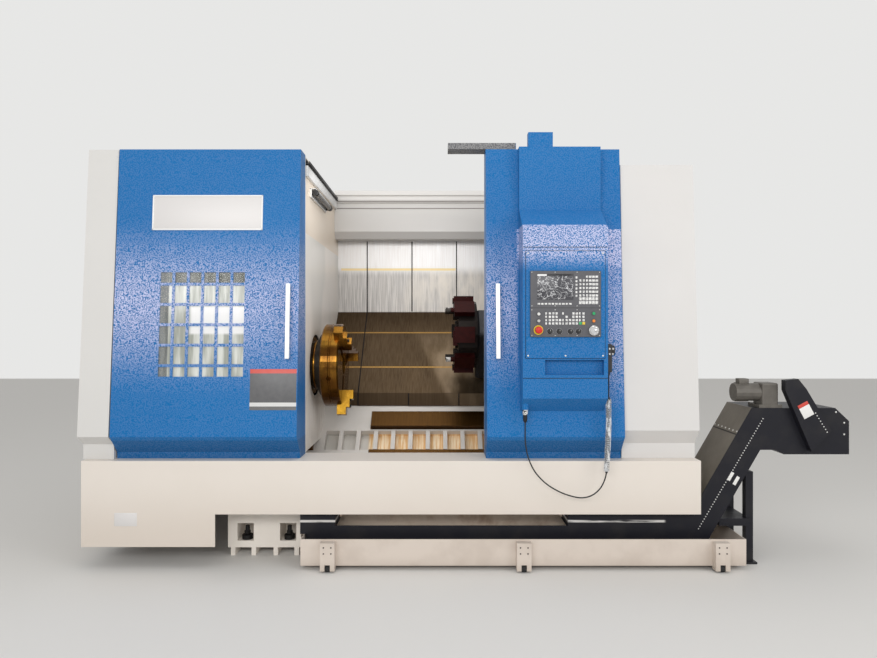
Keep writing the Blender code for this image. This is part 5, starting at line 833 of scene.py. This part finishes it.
for column, tint, colour, slot in ((10, "green", (0.05, 0.4, 0.14), "green_plastic"),
                                   (11, "yellow", (0.75, 0.55, 0.05), "orange_plastic")):
    bright_key = Finish(f"{tint}_key", colour, 0.4)
    bright_key.rough(0.35, 0.1, 300)
    made(f"field_key_{tint}", [tile(field_left + column * field_pitch, field_foot, 0.038, 0.04, 0.002)],
         bright_key, "right_door")

panel_screws = [dome_screw(on_panel(across, up), (0, -1, 0), 0.0028, 0.0012, 10)
                for up in (0.022, 0.41, 0.47, 0.978) for across in (0.022, 0.35, 0.66, 0.978)]
made("panel_screws", panel_screws, zinc, "right_door")

stop_ring = Finish("yellow_ring", (0.8, 0.55, 0.03), 0.4)
stop_ring.rough(0.35, 0.1, 200)
stop = middle_of("emergency_stop")
plate_profile = [(0.0205, -0.0004), (0.0205, 0.0009), (0.021, 0.0012), (0.027, 0.0012), (0.0274, 0.0008),
                 (0.0274, -0.0004), (0.0205, -0.0004)]
made("stop_plate", [turned(plate_profile, (stop.x, panel_low[1], stop.z), (0, -1, 0), 32)], stop_ring,
     "right_door")
knobs = ("mode_knob", "feed_override_knob", "spindle_override_knob", "rapid_override_knob")
plastics = {"emergency_stop": (0.62, 0.02, 0.012), "power_on_button": (0.72, 0.72, 0.7),
            "power_off_button": (0.5, 0.5, 0.48), "cycle_start_button": (0.02, 0.36, 0.13),
            "cycle_stop_button": (0.8, 0.24, 0.03), "mode_knob": (0.02, 0.02, 0.02)}
for node, colour in plastics.items():
    plastic = Finish(node, colour, 0.32)
    plastic.rough(0.26, 0.15, 250)
    plastic.grain(600, 0.06, 0.0005)
    dress(plastic, *(knobs if node in knobs else [node]))
chrome = Finish("chrome", (0.72, 0.72, 0.72), 0.12, 1)
chrome.rough(0.1, 0.12, 90)
dress(chrome, "handwheel")

dial_marks = []
for knob in knobs:
    low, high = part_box(knob)
    centre = middle_of(knob)
    pointer = slab((centre.x - 0.0007, low[1] - 0.0005, centre.z + 0.0015),
                   (centre.x + 0.0007, low[1] + 0.0005, high[2] - 0.004), 0.0002)
    made(knob + "_mark", [pointer], white_trim, knob)
    centre.y = panel_face
    for step in range(11):
        turn = Matrix.Translation(centre) @ Matrix.Rotation(math.radians(-135 + 27 * step), 4, "Y")
        dial_marks += moved([slab((-0.0005, -0.0004, 0.0165), (0.0005, 0.0003, 0.0195), 0.0002)], turn)
made("dial_marks", dial_marks, white_trim, "right_door")


# Hand pendant: a black moulded box hooked on the console's right side, with four small bright
# selectors, and the round connector that its cord ends in, whose shell is worn to bright zinc
moulded = Finish("moulded_black", (0.018, 0.018, 0.019), 0.42)
moulded.rough(0.36, 0.15, 120)
moulded.grain(900, 0.2, 0.0004)
dress(moulded, "hand_pendant")
plug_finish = Finish("connector_shell", (0.03, 0.03, 0.03), 0.4, 0.5)
z = plug_finish.axis("Z")
bright_part = z.above(connector_foot + 0.045, 0.001) * plug_finish.noise(90, detail=1).above(0.45, 0.1)
plug_finish.paint(bright_part, (0.02, 0.02, 0.022), (0.75, 0.75, 0.73))
plug_finish.rough(0.32, 0.15, 120)
dress(plug_finish, "pendant_connector")
pendant_x = middle_of("hand_pendant").x
selector = [(0, 0.006), (0.005, 0.006), (0.006, 0.005), (0.006, -0.0004), (0, -0.0004)]
selectors = [turned(selector, front_of("hand_pendant", pendant_x + across, height)[0], (0, -1, 0), 16)
             for height in (1.315, 1.285) for across in (0.011, -0.011)]
made("pendant_selectors", selectors, chrome, "right_door")


# Chip conveyor: a charcoal sheet trough that runs under the machine and climbs to its head on the
# right, with bolted covers, a ringed geared motor, bare label fields and a hinged steel belt
charcoal = Finish("charcoal_paint", (0.022, 0.022, 0.026), 0.4, Specular_IOR_Level=0.25)
dust = charcoal.noise(5, detail=5).above(0.58, 0.25)
x, y, z = map(charcoal.axis, "XYZ")
sheet_black = charcoal.mix(dust * 0.3, (0.011, 0.011, 0.016), (0.04, 0.037, 0.034))
behind_side = y.above(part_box("conveyor_housing")[0][1] + 0.05, 0.004)
climb, climb_foot = 1.729, 2.039
upper_side = (z - (x * climb - climb_foot)).above(-0.012, 0.01) * x.above(1.3, 0.01) * x.below(1.78, 0.01)
top_sheet = charcoal.mix(charcoal.noise(9, detail=4), (0.12, 0.105, 0.085), (0.19, 0.17, 0.14))
top_sheet = charcoal.mix(1 - (x + climb * z).off(3.0, 0.009, 0.006), top_sheet, (0.02, 0.018, 0.016))
sheet_black = charcoal.mix(behind_side * upper_side, sheet_black, top_sheet)
# The trough's far wall is painted very light as painted reflection, with darker stains over it
trough_wall = y.above(-0.6, 0.02) * z.above(0.12, 0.02) * x.below(1.2, 0.05)
trough_reflection_and_stains = charcoal.mix(dust, (0.95, 0.8, 0.66), (0.6, 0.42, 0.3))
sheet_black = charcoal.mix(trough_wall, sheet_black, trough_reflection_and_stains)
scuffs = charcoal.noise(12, (0.4, 1, 6), 5).above(0.42, 0.2)
# A light line along the front lip's top edge is a painted highlight, broken up by scuffs of wear
lip_highlight_and_wear = (1 - z.off(0.262, 0.007, 0.006)) * x.below(1.2, 0.02) * scuffs
charcoal.paint(lip_highlight_and_wear, sheet_black, (0.72, 0.7, 0.68))
charcoal.rough(0.34, 0.25, 30)
charcoal.grain(280, 0.12, 0.0008)
dress(charcoal, "conveyor_housing")
dress(steel, "conveyor_belt")
motor_grey = Finish("motor_grey", (0.12, 0.11, 0.1), 0.5, 0.3)
motor_grey.paint(motor_grey.noise(18), (0.075, 0.068, 0.06), (0.17, 0.155, 0.135))
motor_grey.grain(160, 0.15)
dress(motor_grey, "conveyor_gearmotor")
motor_y = -0.7145
shell_top, _ = met("conveyor_gearmotor", (1.7, motor_y, 2), (0, 0, -1))
shell_low, _ = met("conveyor_gearmotor", (1.7, motor_y, 0.965), (0, 0, 1))
shell_radius = (shell_top.z - shell_low.z) / 2
fin_profile = [(shell_radius + out, reach) for out, reach in (
    (-0.001, 0), (0.006, 0), (0.006, 0.003), (-0.001, 0.003), (-0.001, 0))]
terminal_box = slab((1.675, -0.742, shell_top.z - 0.012), (1.735, -0.687, shell_top.z + 0.03), 0.003)
fins = [terminal_box]
for step in range(9):
    fins.append(turned(fin_profile, (1.662 + 0.0085 * step, motor_y, shell_low.z + shell_radius),
                       (1, 0, 0), 28))
made("motor_fins", fins, motor_grey, "machine")


def screws_on(node, places, radius, height, steps=8):
    """Round heads on the face that a node shows to the front, at pairs of X and Z."""
    return [dome_screw(*front_of(node, *place), radius, height, steps) for place in places]


def even_row(start, run, count):
    """Pairs of X and Z, evenly along a run from a start."""
    return [tuple(a + b * (step / (count - 1)) for a, b in zip(start, run)) for step in range(count)]


def bare_label(x, z, lean, half_width, low, high):
    """A plain label on the conveyor's side, leant in its plane by degrees."""
    tilted = Matrix.Translation(front_of("conveyor_housing", x, z)[0]) \
        @ Matrix.Rotation(math.radians(lean), 4, "Y")
    return moved([slab((-half_width, -0.0008, low), (half_width, 0.0004, high), 0.0003)], tilted)


side_row = even_row((1.405, 0.216), (0.392, 0.669), 46) + even_row((2.09, 0.925), (0.07, -0.115), 8)
bolt_row = screws_on("conveyor_housing", side_row, 0.0042, 0.003)
bolt_row += [dome_screw(*met("conveyor_housing", (1.645, -0.775 + 0.052 * step, 2), (0, 0, -1)),
                        0.006, 0.004, 8) for step in range(7)]
bolt_row += screws_on("conveyor_housing", ((2.29, 0.79), (2.29, 0.86), (2.24, 0.925)), 0.006, 0.004)
made("conveyor_bolts", bolt_row, zinc, "machine")

label_white = Finish("guard_label", (0.8, 0.79, 0.77), 0.4)
label_red = Finish("label_red", (0.6, 0.06, 0.04), 0.4)
for name, finish, low, high, slot in (("guard_label", label_white, -0.045, 0.024, "grey_plastic"),
                                      ("guard_label_head", label_red, 0.0245, 0.045, "red_plastic")):
    finish.rough(0.34, 0.15, 90)
    made(name, bare_label(2.032, 0.943, -28, 0.033, low, high), finish, "machine")
side_labels = []
for label_x, label_z in ((1.6, 0.535), (1.634, 0.508)):
    side_labels += bare_label(label_x, label_z, 30, 0.01, -0.028, 0.028)
made("side_labels", side_labels, label_white, "machine")


# Coolant tank: a welded sheet tank painted off-white that rolls on black wheels, whose brackets are
# screwed to it and whose axles end in zinc caps
tank_paint = Finish("tank_paint", (0.72, 0.68, 0.62), 0.42)
grime = tank_paint.noise(4, detail=5).above(0.56, 0.25)
# The tank is darker towards the floor
low_darkening = tank_paint.axis("Z").below(0.05, 0.09)
shade = tank_paint.mix(grime * 0.3, (0.67, 0.59, 0.52), (0.42, 0.34, 0.28))
tank_paint.paint(low_darkening * 0.35, shade, (0.36, 0.3, 0.24))
tank_paint.rough(0.4, 0.2, 30)
tank_paint.grain(220, 0.12, 0.0008, detail=2)
dress(tank_paint, "coolant_tank")
dress(rubber, "tank_wheel_1", "tank_wheel_2", "tank_wheel_3", "tank_rear_wheels")
for number in (1, 2, 3):
    wheel = f"tank_wheel_{number}"
    side_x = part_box(wheel)[1][0]
    centre = middle_of(wheel)
    made(f"wheel_cap_{number}", [dome_screw((side_x, centre.y, centre.z), (1, 0, 0), 0.006, 0.003)], zinc,
         wheel)
    bracket_places = [(centre.x + across, height) for height in (0.115, 0.15) for across in (-0.022, 0.022)]
    made(f"bracket_screws_{number}", screws_on("coolant_tank", bracket_places, 0.0045, 0.003, 10),
         black_steel, "machine")


# Floor and light: a plain pale floor under four soft lamps, in a room that lights the machine gently
# and that the camera, the gloss and the glass see as a pale grey
floor_finish = Finish("pale_floor", (0.72, 0.71, 0.69), 0.6)
floor_work = bmesh.new()
bmesh.ops.create_grid(floor_work, x_segments=1, y_segments=1, size=14)
floor = joined("floor", [floor_work], floor_finish)

for name, place, target, size, height, power in (
        ("front_lamp", (-1.6, -7, 3.3), (-0.2, 0, 1.2), 6.5, 1.5, 190),
        ("right_lamp", (4.6, -4.6, 3.2), (0, 0, 1.3), 3, 3, 75),
        ("top_lamp", (0, -1.5, 6.5), (0, 0, 0), 4.5, 4.5, 70),
        ("inner_lamp", (-0.4, -0.55, 2.42), (-0.5, 0.45, 1.2), 0.9, 0.2, 3.2)):
    lamp_data = bpy.data.lights.new(name, "AREA")
    lamp_data.shape = "RECTANGLE"
    lamp_data.size = size
    lamp_data.size_y = height
    lamp_data.energy = power
    lamp_object = placed(name, lamp_data)
    lamp_object.location = place
    lamp_object.rotation_euler = (Vector(target) - Vector(place)).to_track_quat("-Z", "Y").to_euler()

world = bpy.data.worlds.new("soft_room")
world.use_nodes = True
scene.world = world
room = Tree(world.node_tree)
lighting = room.tree.nodes["Background"]
lighting.inputs["Color"].default_value = (1, 0.985, 0.96, 1)
lighting.inputs["Strength"].default_value = 0.52
backdrop = room.node("ShaderNodeBackground", {}, {"Color": (0.8, 0.8, 0.79, 1)})
seen = room.node("ShaderNodeLightPath", {}, {}, "Is Camera Ray")
for ray in ("Is Transmission Ray", "Is Glossy Ray"):
    seen = room.node("ShaderNodeMath", {"operation": "ADD", "use_clamp": True},
                     [seen, room.node("ShaderNodeLightPath", {}, {}, ray)])
surround = room.node("ShaderNodeMixShader", {}, [seen, Socket(room, lighting.outputs[0]), backdrop])
room.tree.links.new(surround.link, room.tree.nodes["World Output"].inputs["Surface"])

bpy.context.view_layer.update()
